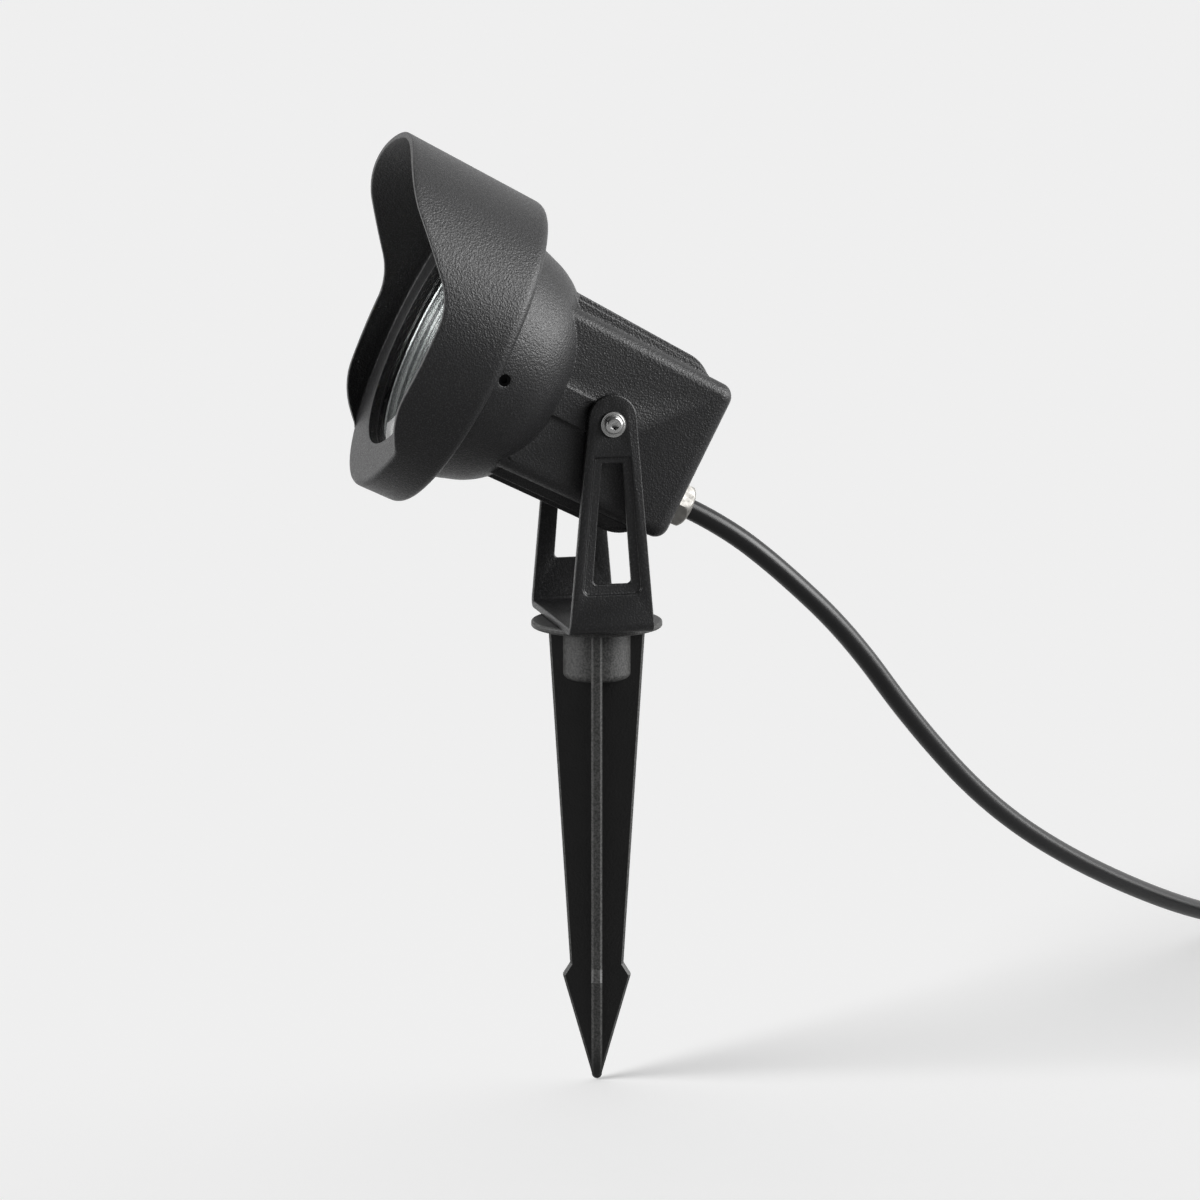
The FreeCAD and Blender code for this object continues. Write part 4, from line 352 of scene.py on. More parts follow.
def link_light(lamp, thing, state):
    """Let a lamp light one thing alone (INCLUDE), or everything but that thing (EXCLUDE)."""
    group = bpy.data.collections.new("linked_to_" + lamp.name)
    group.objects.link(thing)
    group.collection_objects[0].light_linking.link_state = state
    lamp.light_linking.receiver_collection = group


# --------------------------------------------------------------------------- materials
# Most values of a noise lie in the first span; the others spread a fine noise out, and take alone
# its brightest specks, painted lighter as glints, and the reflector's rings of painted shade.
NOISE_SPAN = (0.3, 0.7)
GRAIN_SPAN = (0.38, 0.62)
PAINTED_GLINT_SPAN = (0.5, 0.66)
SPIN_RING_SHADE_SPAN = (0.42, 0.58)

# Sizes of the patterns in millimetres: how wide their cells, specks, rings or stripes are.
CAST_CELL = 0.75
CAST_BEND = 1.7
CAST_BEND_REACH = 0.6
CAST_GRAIN = 0.45
CAST_GRAIN_SHARE = 0.8          # of the relief, against the cells
SATIN_PEEL = 0.7
NYLON_FIBRES = 0.8
NYLON_LEAST_GREY = 0.25        # share, between the fibres
# Distance of a face's plane from the spike's axis: a blade's flat, and a face that looks outwards.
NYLON_FLAT = 2.6
NYLON_OUTWARD = 5.0
RUBBER_SKIN = 1.5
METAL_SMEAR = 2.0
METAL_GLOSS = (0.75, 1.3)       # least and most share of a metal's roughness
MOULD_SKIN = 0.35
STRIPE_PITCH = 3.77
STRIPE_FROM = 0.6               # share of a wave's height
WAVE_PITCH = math.pi / 10       # of a wave texture whose scale is 1
SPUN_RINGS = 0.9
GLASS_IOR = 1.5


def surface(name, dark, light, roughness, metallic=0.0, drift=12.0, specular=0.5):
    """Material whose colour drifts between two values over a size in millimetres."""
    material = bpy.data.materials.new(name)
    material.use_nodes = True
    tree = material.node_tree
    tree.nodes.clear()
    place = add(tree, "ShaderNodeTexCoord").outputs["Object"]
    cloud = add(tree, "ShaderNodeTexNoise", {
        "Vector": place, "Scale": 1 / (drift * MM), "Detail": 3.0})
    share = add(tree, "ShaderNodeMapRange", {
        "Value": cloud.outputs["Fac"], "From Min": NOISE_SPAN[0], "From Max": NOISE_SPAN[1]})
    colour = add(tree, "ShaderNodeMix", {
        "Factor": share.outputs[0], 6: linear(dark), 7: linear(light)}, data_type="RGBA")
    shader = add(tree, "ShaderNodeBsdfPrincipled", {
        "Base Color": colour.outputs[2], "Roughness": roughness, "Metallic": metallic,
        "Specular IOR Level": specular})
    add(tree, "ShaderNodeOutputMaterial", {"Surface": shader.outputs[0]})
    return material, tree, shader, place


def raise_bump(tree, shader, height, depth):
    """Bump of a depth in millimetres from a height between 0 and 1."""
    bump = add(tree, "ShaderNodeBump", {"Height": height, "Strength": 1.0, "Distance": depth * MM})
    tree.links.new(bump.outputs[0], shader.inputs["Normal"])


def tint(tree, shader, share, code):
    """Lay a colour over the base by a share between 0 and 1."""
    base = shader.inputs["Base Color"]
    colour = add(tree, "ShaderNodeMix", {
        "Factor": share, 6: base.links[0].from_socket, 7: linear(code)}, data_type="RGBA")
    tree.links.new(colour.outputs[2], base)


def speckle_with_painted_glints(tree, shader, grain, dull, bright, code):
    """Break a coat up into dull and bright specks, the glossiest of them tinted lighter as a
    painted glint.
    """
    gloss = add(tree, "ShaderNodeMapRange", {
        "Value": grain, "From Min": GRAIN_SPAN[0], "From Max": GRAIN_SPAN[1],
        "To Min": dull, "To Max": bright})
    tree.links.new(gloss.outputs[0], shader.inputs["Roughness"])
    # Painted glints: the brightest specks are tinted lighter.
    share = add(tree, "ShaderNodeMapRange", {
        "Value": grain, "From Min": PAINTED_GLINT_SPAN[0], "From Max": PAINTED_GLINT_SPAN[1]})
    tint(tree, shader, share.outputs[0], code)


def textured_polyester():
    """Textured polyester powder coat on the die castings: charcoal, with a fine leather-like grain
    that breaks the highlights up; its glossiest specks are tinted lighter as painted glints. It
    is drawn a little coarser than the real one, so that it shows."""
    material, tree, shader, place = surface(
        "textured_polyester", "#171718", "#1D1D1E", roughness=0.42, drift=30.0)
    bend = add(tree, "ShaderNodeTexNoise", {
        "Vector": place, "Scale": 1 / (CAST_BEND * MM), "Detail": 1.0})
    wander = add(tree, "ShaderNodeVectorMath", {
        0: bend.outputs["Color"], 1: (CAST_BEND_REACH * MM,) * 3, 2: place},
        operation="MULTIPLY_ADD")
    cells = add(tree, "ShaderNodeTexVoronoi", {
        "Vector": wander.outputs[0], "Scale": 1 / (CAST_CELL * MM), "Smoothness": 0.5},
        feature="SMOOTH_F1")
    fine = add(tree, "ShaderNodeTexNoise", {
        "Vector": place, "Scale": 1 / (CAST_GRAIN * MM), "Detail": 2.0})
    height = add(tree, "ShaderNodeMath", {
        0: fine.outputs["Fac"], 1: CAST_GRAIN_SHARE, 2: cells.outputs["Distance"]},
        operation="MULTIPLY_ADD")
    raise_bump(tree, shader, height.outputs[0], depth=0.12)
    # The tint on the brightest specks is a painted glint.
    speckle_with_painted_glints(tree, shader, fine.outputs["Fac"], dull=0.52, bright=0.34, code="#363637")
    return material


def satin_polyester():
    """Satin powder coat on the pressed steel bracket: near black, its soft shine broken up by an
    orange peel under a millimetre wide, its glossiest specks tinted lighter as painted glints."""
    material, tree, shader, place = surface(
        "satin_polyester", "#131314", "#19191A", roughness=0.38, drift=18.0)
    peel = add(tree, "ShaderNodeTexNoise", {
        "Vector": place, "Scale": 1 / (SATIN_PEEL * MM), "Detail": 3.0})
    raise_bump(tree, shader, peel.outputs["Fac"], depth=0.16)
    # The tint on the brightest specks is a painted glint.
    speckle_with_painted_glints(tree, shader, peel.outputs["Fac"], dull=0.46, bright=0.30, code="#2E2E2F")
    return material


def glass_filled_nylon():
    """Moulded glass-filled nylon: near black on the flats of the blades, and speckled grey on the
    faces that look away from the spike's axis: hub, flange and the blades' edges."""
    material, tree, shader, place = surface(
        "glass_filled_nylon", "#121212", "#181818", roughness=0.5, drift=9.0)
    facing = add(tree, "ShaderNodeTexCoord").outputs["Normal"]
    flat = add(tree, "ShaderNodeVectorMath", {0: place, 1: (1.0, 1.0, 0.0)}, operation="MULTIPLY")
    reach = add(tree, "ShaderNodeVectorMath", {0: flat.outputs[0], 1: facing},
                operation="DOT_PRODUCT")
    outward = add(tree, "ShaderNodeMapRange", {
        "Value": reach.outputs["Value"], "From Min": NYLON_FLAT * MM,
        "From Max": NYLON_OUTWARD * MM})
    fibres = add(tree, "ShaderNodeTexNoise", {
        "Vector": place, "Scale": 1 / (NYLON_FIBRES * MM), "Detail": 4.0})
    speck = add(tree, "ShaderNodeMapRange", {
        "Value": fibres.outputs["Fac"], "From Min": GRAIN_SPAN[0], "From Max": GRAIN_SPAN[1],
        "To Min": NYLON_LEAST_GREY})
    outward_grey = add(tree, "ShaderNodeMath", {0: outward.outputs[0], 1: speck.outputs[0]},
                operation="MULTIPLY")
    # The faces away from the axis are drawn a lighter grey than the blades' flats.
    tint(tree, shader, outward_grey.outputs[0], "#4E4E4D")
    skin = add(tree, "ShaderNodeTexNoise", {
        "Vector": place, "Scale": 1 / (NYLON_FIBRES * MM), "Detail": 3.0})
    raise_bump(tree, shader, skin.outputs["Fac"], depth=0.12)
    return material


def black_rubber(name, roughness):
    """Extruded or moulded rubber: black and smooth, as dull as its roughness."""
    material, tree, shader, place = surface(name, "#101011", "#161617", roughness, drift=25.0)
    skin = add(tree, "ShaderNodeTexNoise", {
        "Vector": place, "Scale": 1 / (RUBBER_SKIN * MM), "Detail": 2.0})
    raise_bump(tree, shader, skin.outputs["Fac"], depth=0.04)
    return material


def metal(name, dark, light, roughness):
    """Bare or plated metal, its gloss a little uneven from handling."""
    material, tree, shader, place = surface(name, dark, light, roughness, metallic=1.0, drift=6.0)
    smear = add(tree, "ShaderNodeTexNoise", {
        "Vector": place, "Scale": 1 / (METAL_SMEAR * MM), "Detail": 3.0})
    gloss = add(tree, "ShaderNodeMapRange", {
        "Value": smear.outputs["Fac"], "From Min": NOISE_SPAN[0], "From Max": NOISE_SPAN[1],
        "To Min": roughness * METAL_GLOSS[0], "To Max": roughness * METAL_GLOSS[1]})
    tree.links.new(gloss.outputs[0], shader.inputs["Roughness"])
    return material


def moulded(name, dark, light, roughness):
    """Moulded plastic with a fine spark-eroded skin."""
    material, tree, shader, place = surface(name, dark, light, roughness)
    skin = add(tree, "ShaderNodeTexNoise", {
        "Vector": place, "Scale": 1 / (MOULD_SKIN * MM), "Detail": 2.0})
    raise_bump(tree, shader, skin.outputs["Fac"], depth=0.03)
    return material


def earth_insulation():
    """PVC insulation with green and yellow stripes along the core."""
    material, tree, shader, place = surface("pvc_green_yellow", "#2F7A33", "#38863B", 0.35)
    wave = add(tree, "ShaderNodeTexWave", {
        "Vector": place, "Scale": WAVE_PITCH / (STRIPE_PITCH * MM)}, bands_direction="X")
    stripe = add(tree, "ShaderNodeMath", {0: wave.outputs["Fac"], 1: STRIPE_FROM},
                 operation="GREATER_THAN")
    tint(tree, shader, stripe.outputs[0], "#D8C234")
    return material


def toughened_glass():
    """Clear toughened glass, its mirror calmer than a polished pane's; light passes straight
    through it to the reflector behind."""
    material, tree, shader, _ = surface(
        "toughened_glass", "#F4F8F6", "#FAFCFB", 0.02, specular=0.2)
    shader.inputs["Transmission Weight"].default_value = 1.0
    shader.inputs["IOR"].default_value = GLASS_IOR
    output = next(node for node in tree.nodes if node.type == "OUTPUT_MATERIAL")
    clear = add(tree, "ShaderNodeBsdfTransparent", {"Color": linear("#F4F8F6")})
    path = add(tree, "ShaderNodeLightPath")
    mix = add(tree, "ShaderNodeMixShader", {
        0: path.outputs["Is Shadow Ray"], 1: shader.outputs[0], 2: clear.outputs[0]})
    tree.links.new(mix.outputs[0], output.inputs["Surface"])
    return material


def spun_aluminium():
    """Bright anodised aluminium, spun: fine rings round the lamp axis from the spinning tool, in
    its bump; the darker rings in its colour are painted shade that marks the terraces' steps.
    """
    material, tree, shader, place = surface(
        "spun_aluminium", "#A0A0A1", "#B2B2B3", roughness=0.26, metallic=1.0, drift=15.0)
    shifted = add(tree, "ShaderNodeVectorMath", {0: place, 1: PIVOT}, operation="SUBTRACT")
    turned = add(tree, "ShaderNodeMapping", {
        "Vector": shifted.outputs[0], "Rotation": (math.radians(TILT - 90.0), 0.0, 0.0)},
        vector_type="POINT")
    flat = add(tree, "ShaderNodeVectorMath", {0: turned.outputs[0], 1: (1.0, 1.0, 0.0)},
               operation="MULTIPLY")
    radius = add(tree, "ShaderNodeVectorMath", {0: flat.outputs[0]}, operation="LENGTH")
    rings = add(tree, "ShaderNodeTexNoise", {
        "W": radius.outputs["Value"], "Scale": 1 / (SPUN_RINGS * MM), "Detail": 3.0},
        noise_dimensions="1D")
    raise_bump(tree, shader, rings.outputs["Fac"], depth=0.04)
    # Painted shade: some rings are darkened in colour to mark the terraces' steps.
    painted_spin_ring_shade = add(tree, "ShaderNodeMapRange", {
        "Value": rings.outputs["Fac"], "From Min": SPIN_RING_SHADE_SPAN[0], "From Max": SPIN_RING_SHADE_SPAN[1]})
    tint(tree, shader, painted_spin_ring_shade.outputs[0], "#5C5C5E")
    return material


# What each slot is made of: a name, the two colours that it drifts between, and its roughness. The
# rubbers share one pair of colours.
RUBBERS = {
    "lead_rubber": ("extruded_rubber", 0.34),       # the lead and its plug: black with a soft sheen
    "rubber": ("moulded_rubber", 0.55),             # seals: black and matt
}
METALS = {
    # Stainless steel turned bright: pale, with small sharp highlights.
    "stainless": ("turned_stainless", "#D0D0CF", "#E2E2E1", 0.27),
    # Black oxide on steel: near black with a dull metal shine.
    "blackened_steel": ("black_oxide_steel", "#161617", "#1E1E1F", 0.4),
    # Nickel plate on brass: a warm grey whose highlights are wide and soft.
    "nickel": ("nickel_plated_brass", "#9A9894", "#A9A7A3", 0.55),
    # Brass as turned: yellow and bright.
    "brass": ("turned_brass", "#B9974F", "#CBAA62", 0.25),
    # Tinned steel: pale grey and softly bright.
    "tin": ("tinned_steel", "#AFAFB0", "#C2C2C3", 0.35),
    # Aluminium as machined: pale grey and softly bright.
    "bare_aluminium": ("machined_aluminium", "#B0B0B1", "#C4C4C5", 0.35),
    # Black anodised aluminium: the darkest metal, with a satin shine.
    "collar_black": ("black_anodised_aluminium", "#0F0F10", "#161617", 0.38),
}
MOULDINGS = {
    "thermal": ("silicone_thermal_pad", "#8E8E92", "#9C9CA0", 0.7),         # soft and matt
    "board_white": ("white_solder_mask", "#DDDDD9", "#E6E6E2", 0.35),       # white lacquer
    "phosphor": ("yellow_phosphor", "#D9BC3F", "#E4CB55", 0.6),             # matt yellow
    "holder_white": ("white_polycarbonate", "#D8D8D5", "#E2E2DF", 0.4),     # satin white
    "driver_black": ("black_polycarbonate", "#161616", "#1D1D1D", 0.5),     # dull black
    "board_green": ("green_solder_mask", "#14532A", "#1B6334", 0.35),       # green lacquer
    "terminal_cream": ("cream_polyamide", "#CFC9B4", "#DAD5C2", 0.45),      # satin cream
    "wire_brown": ("pvc_brown", "#4E2E1A", "#5A3720", 0.35),                # smooth insulation
    "wire_blue": ("pvc_blue", "#1D4692", "#2452A2", 0.35),                  # the same in blue
    "wire_red": ("silicone_red", "#A01A14", "#B0231C", 0.45),               # dull insulation
    "wire_black": ("silicone_black", "#141414", "#1B1B1B", 0.45),           # the same in black
}
finishes = {
    "cast_coat": textured_polyester(),
    "bracket_coat": satin_polyester(),
    "spike_plastic": glass_filled_nylon(),
    "mirror_bright": spun_aluminium(),
    "glass": toughened_glass(),
    "wire_green": earth_insulation(),
    **{slot: black_rubber(*look) for slot, look in RUBBERS.items()},
    **{slot: metal(*look) for slot, look in METALS.items()},
    **{slot: moulded(*look) for slot, look in MOULDINGS.items()},
}
slot_of = {row["node"]: row["material_slot"] for row in frame["record"]["subparts"]}
body_of = {node: body for body, nodes in frame["record"]["behaviour"]["bodies"].items()
           for node in nodes}


def coat(mesh, slot):
    """Give a mesh the finish of a slot, and no other."""
    mesh.materials.clear()
    mesh.materials.append(finishes[slot])


def dress_frame():
    """Give every carried-over CAD node the finish of its slot."""
    for node, thing in frame["nodes"].items():
        coat(thing.data, slot_of[node])


# --------------------------------------------------------------------------- making pieces
def finished(name, mesh, *nodes):
    """Put a mesh in the scene in place of CAD nodes, with the finish and body of the first."""
    coat(mesh, slot_of[nodes[0]])
    mesh.name = name
    thing = place_in_scene(name, mesh)
    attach(thing, body_of[nodes[0]])
    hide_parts(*nodes)
    return thing


def applied(thing):
    """Plain mesh of an object with its modifiers applied; the object is removed."""
    bpy.context.view_layer.update()
    shape = thing.evaluated_get(bpy.context.evaluated_depsgraph_get())
    mesh = bpy.data.meshes.new_from_object(shape)
    bpy.data.objects.remove(thing)
    return mesh


def shade_smooth(mesh, sharp_from):
    """Smooth shading, but for edges at least as sharp as an angle in degrees."""
    for face in mesh.polygons:
        face.use_smooth = True
    mesh.set_sharp_from_angle(angle=math.radians(sharp_from))


def ease_edges(node, width, steps):
    """Stand-in for a CAD node with its sharp edges rounded, as its finish rounds them."""
    shell = bmesh.new()
    shell.from_mesh(frame["nodes"][node].data)
    bmesh.ops.remove_doubles(shell, verts=shell.verts, dist=EASED_MERGE * MM)
    bmesh.ops.dissolve_limit(shell, angle_limit=math.radians(EASED_FLAT), verts=shell.verts,
                             edges=shell.edges)
    mesh = bpy.data.meshes.new(node)
    shell.to_mesh(mesh)
    shell.free()
    thing = place_in_scene(node + "_rough", mesh)
    bevel = thing.modifiers.new("ease", "BEVEL")
    bevel.width = width * MM
    bevel.segments = steps
    bevel.limit_method = "ANGLE"
    bevel.angle_limit = math.radians(EASED_FROM)
    bevel.use_clamp_overlap = False
    mesh = applied(thing)
    shade_smooth(mesh, sharp_from=40.0)
    finished(node + "_eased", mesh, node)


def turn(shell, section, columns, place):
    """Add a turned solid: section(angle) gives its closed outline as (radius, height) in mm."""
    rings = []
    for k in range(columns):
        angle = 2 * math.pi * k / columns
        points = [Vector((radius * math.cos(angle), radius * math.sin(angle), height))
                  for radius, height in section(angle)]
        rings.append([shell.verts.new(place @ (point * MM)) for point in points])
    for k, ring in enumerate(rings):
        after = rings[(k + 1) % columns]
        for row in range(len(ring)):
            nxt = (row + 1) % len(ring)
            shell.faces.new((ring[row], after[row], after[nxt], ring[nxt]))


def closed_mesh(shell, sharp_from=42.0):
    """Mesh of a shell with its doubled points merged and its faces turned outwards."""
    bmesh.ops.remove_doubles(shell, verts=shell.verts, dist=TURNED_MERGE * MM)
    loose = [edge for edge in shell.edges if not edge.link_faces]
    bmesh.ops.delete(shell, geom=loose, context="EDGES")
    bmesh.ops.recalc_face_normals(shell, faces=shell.faces)
    mesh = bpy.data.meshes.new("closed")
    shell.to_mesh(mesh)
    shell.free()
    shade_smooth(mesh, sharp_from)
    return mesh


def hexagon_at(angle, flats):
    """Radius at an angle of a hexagon across flats, with a corner at angle 0."""
    from_flat = angle % (math.pi / 3) - math.pi / 6
    return flats / 2 / math.cos(from_flat)


def button_section(angle, sizes, flange):
    """Outline of a rounded screw head on z = 0 with a hexagon socket, and its shank below."""
    head, height, shank, length, flats, depth = sizes
    top = head * BUTTON_FLAT
    bulge = Vector((head - top, height * (1 - BUTTON_SIDE)))
    socket = hexagon_at(angle, flats)
    ease = SOCKET_EASE
    points = [(0.0, -length), (shank - SCREW_TIP, -length), (shank, -length + SCREW_TIP),
              (shank, 0.0)]
    points += flange or [(head - ease, 0.0), (head, ease)]
    points.append((head, height * BUTTON_SIDE - ease))
    for k in range(BUTTON_STEPS + 1):
        turned = math.pi / 2 * k / BUTTON_STEPS
        points.append((top + bulge.x * math.cos(turned),
                       height * BUTTON_SIDE + bulge.y * math.sin(turned)))
    points += [(socket + ease, height), (socket, height - ease), (socket, height - depth),
               (0.0, height - depth - flats / SOCKET_POINT)]
    return points


def make_screws():
    """Pivot screws with a flange under the button, and the bracket's bolt."""
    rim, low, dish = PIVOT_FLANGE
    head = PIVOT_SCREW[0]
    flange = [(rim - SOCKET_EASE, 0.0), (rim, SOCKET_EASE), (rim, low - dish),
              (rim - dish / 2, low), (rim - 2 * dish, low), (rim - 3 * dish, low - dish),
              (head + SOCKET_EASE, low - dish), (head, low - dish + SOCKET_EASE)]
    shell = bmesh.new()
    for side in (1, -1):
        place = (HEAD @ Matrix.Translation((side * EAR_FACE * MM, 0, 0))
                 @ Matrix.Rotation(math.pi / 2 * side, 4, "Y"))
        turn(shell, lambda angle: button_section(angle, PIVOT_SCREW, flange), SCREW_COLUMNS, place)
    finished("pivot_buttons", closed_mesh(shell, sharp_from=30.0), "pivot_screws")
    shell = bmesh.new()
    turn(shell, lambda angle: button_section(angle, SWIVEL_BOLT, None), SCREW_COLUMNS,
         Matrix.Translation((0, 0, SWIVEL_SEAT * MM)))
    finished("bracket_bolt", closed_mesh(shell, sharp_from=30.0), "swivel_bolt")


def nut_section(angle):
    """Outline of the gland's domed cap nut, from its open end outwards along the lead."""
    corner = hexagon_at(angle, GLAND_FLATS)
    points = [(GLAND_NUT_BORE, 0.0), (min(corner, GLAND_FLATS / 2 + GLAND_NUT_FACE), 0.0)]
    for k in range(GLAND_NUT_STEPS + 1):
        height = GLAND_NUT_EASE + (GLAND_NUT_LENGTH - GLAND_NUT_EASE) * k / GLAND_NUT_STEPS
        share = max(height - GLAND_DOME_START, 0.0) / (GLAND_NUT_LENGTH - GLAND_DOME_START)
        bulge = math.sqrt(max(1.0 - share ** 2, 0.0))
        dome = GLAND_NUT_END + (GLAND_FLATS / math.sqrt(3) - GLAND_NUT_END) * bulge
        points.append((min(corner, dome), height))
    lead = LEAD_DIAMETER / 2 + LEAD_CLEARANCE
    points += [(lead + GLAND_NUT_LIP, GLAND_NUT_LENGTH), (lead, GLAND_NUT_LENGTH - GLAND_NUT_LIP),
               (lead, GLAND_NUT_THROAT), (GLAND_NUT_BORE, GLAND_NUT_THROAT - GLAND_NUT_CONE)]
    return points


def make_gland_nut():
    """Cap nut of the gland, turned over, because it opens towards the glass."""
    shell = bmesh.new()
    place = (HEAD @ Matrix.Translation(Vector((0.0, -GLAND_DROP, -GLAND_NUT_START)) * MM)
             @ Matrix.Rotation(math.pi, 4, "X"))
    turn(shell, nut_section, GLAND_NUT_COLUMNS, place)
    finished("gland_cap_nut", closed_mesh(shell, sharp_from=24.0), "gland_nut")


# --------------------------------------------------------------------------- pieces grown by a rule
def new_rule(name, sizes):
    """Geometry tree with a named input for each size; returns the tree and the inputs."""
    tree = bpy.data.node_groups.new(name, "GeometryNodeTree")
    for key, value in sizes.items():
        kind = "NodeSocketInt" if isinstance(value, int) else "NodeSocketFloat"
        tree.interface.new_socket(key, in_out="INPUT", socket_type=kind)
    tree.interface.new_socket("Geometry", in_out="OUTPUT", socket_type="NodeSocketGeometry")
    return tree, add(tree, "NodeGroupInput").outputs


def grow(name, tree, sizes, made, place, node, sharp_from):
    """Close a tree with its material, run it with its sizes, and put the plain mesh in place."""
    moved = add(tree, "GeometryNodeTransform", {
        "Geometry": made, "Translation": place.to_translation(), "Rotation": place.to_euler()})
    whole = add(tree, "GeometryNodeRealizeInstances", {"Geometry": moved.outputs[0]})
    dressed = add(tree, "GeometryNodeSetMaterial", {
        "Geometry": whole.outputs[0], "Material": finishes[slot_of[node]]})
    add(tree, "NodeGroupOutput", {"Geometry": dressed.outputs[0]})
    thing = place_in_scene(name + "_seed", bpy.data.meshes.new(name))
    modifier = thing.modifiers.new("rule", "NODES")
    modifier.node_group = tree
    for item in tree.interface.items_tree:
        if item.in_out == "INPUT":
            modifier[item.identifier] = sizes[item.name]
    mesh = applied(thing)
    shade_smooth(mesh, sharp_from)
    return finished(name, mesh, node)


def make_reflector():
    """Spun bowl: a parabola with fine terraces, and its wall behind, bent from one grid."""
    sizes = {"Throat": THROAT_RADIUS * MM, "Mouth": BOWL_MOUTH * MM, "Base": BOWL_BASE * MM,
             "Rise": BOWL_RISE * MM, "Wall": BOWL_WALL * MM, "Terraces": BOWL_TERRACES,
             "Terrace Depth": BOWL_TERRACE_DEPTH * MM}
    tree, size = new_rule("spun_bowl", sizes)
    grid = add(tree, "GeometryNodeMeshGrid", {
        "Size X": 1.0, "Size Y": 1.0, "Vertices X": BOWL_COLUMNS + 1,
        "Vertices Y": BOWL_TERRACES * BOWL_TERRACE_ROWS + 1})
    position = add(tree, "GeometryNodeInputPosition").outputs[0]
    place = add(tree, "ShaderNodeSeparateXYZ", {"Vector": position})
    angle = add(tree, "ShaderNodeMath", {0: place.outputs["X"], 1: -2 * math.pi},
                operation="MULTIPLY")
    # Along the grid's Y the section runs up the front of the bowl and back down its rear.
    folded = add(tree, "ShaderNodeMath", {0: place.outputs["Y"], 1: -2.0}, operation="MULTIPLY")
    distance = add(tree, "ShaderNodeMath", {0: folded.outputs[0]}, operation="ABSOLUTE")
    share = add(tree, "ShaderNodeMath", {0: 1.0, 1: distance.outputs[0]}, operation="SUBTRACT")
    rear = add(tree, "ShaderNodeMath", {0: place.outputs["Y"], 1: BOWL_SEAM},
               operation="GREATER_THAN")
    open_end = add(tree, "ShaderNodeMath", {0: place.outputs["Y"], 1: 0.5 - BOWL_SEAM},
                   operation="LESS_THAN")
    behind = add(tree, "ShaderNodeMath", {0: rear.outputs[0], 1: open_end.outputs[0]},
                 operation="MULTIPLY")
    offset = add(tree, "ShaderNodeMath", {0: behind.outputs[0], 1: size["Wall"]},
                 operation="MULTIPLY")
    span = add(tree, "ShaderNodeMath", {0: size["Mouth"], 1: size["Throat"]},
               operation="SUBTRACT")
    radius = add(tree, "ShaderNodeMath", {
        0: share.outputs[0], 1: span.outputs[0], 2: size["Throat"]}, operation="MULTIPLY_ADD")
    square = add(tree, "ShaderNodeMath", {0: share.outputs[0], 1: 2.0}, operation="POWER")
    curve = add(tree, "ShaderNodeMath", {0: square.outputs[0], 1: size["Rise"], 2: size["Base"]},
                operation="MULTIPLY_ADD")
    level = add(tree, "ShaderNodeMath", {0: curve.outputs[0], 1: offset.outputs[0]},
                operation="SUBTRACT")
    steps = add(tree, "ShaderNodeMath", {0: share.outputs[0], 1: size["Terraces"]},
                operation="MULTIPLY")
    tread = add(tree, "ShaderNodeMath", {0: steps.outputs[0]}, operation="FRACT")
    front = add(tree, "ShaderNodeMath", {0: 1.0, 1: behind.outputs[0]}, operation="SUBTRACT")
    ripple = add(tree, "ShaderNodeMath", {0: tread.outputs[0], 1: front.outputs[0]},
                 operation="MULTIPLY")
    height = add(tree, "ShaderNodeMath", {
        0: ripple.outputs[0], 1: size["Terrace Depth"], 2: level.outputs[0]},
        operation="MULTIPLY_ADD")
    across = add(tree, "ShaderNodeMath", {0: angle.outputs[0]}, operation="COSINE")
    along = add(tree, "ShaderNodeMath", {0: angle.outputs[0]}, operation="SINE")
    x = add(tree, "ShaderNodeMath", {0: radius.outputs[0], 1: across.outputs[0]},
            operation="MULTIPLY")
    y = add(tree, "ShaderNodeMath", {0: radius.outputs[0], 1: along.outputs[0]},
            operation="MULTIPLY")
    bent = add(tree, "ShaderNodeCombineXYZ", {
        "X": x.outputs[0], "Y": y.outputs[0], "Z": height.outputs[0]})
    bowl = add(tree, "GeometryNodeSetPosition", {
        "Geometry": grid.outputs["Mesh"], "Position": bent.outputs[0]})
    sewn = add(tree, "GeometryNodeMergeByDistance", {
        "Geometry": bowl.outputs[0], "Distance": BOWL_SEWN * MM})
    grow("spun_reflector", tree, sizes, sewn.outputs[0], HEAD, "reflector", sharp_from=35.0)


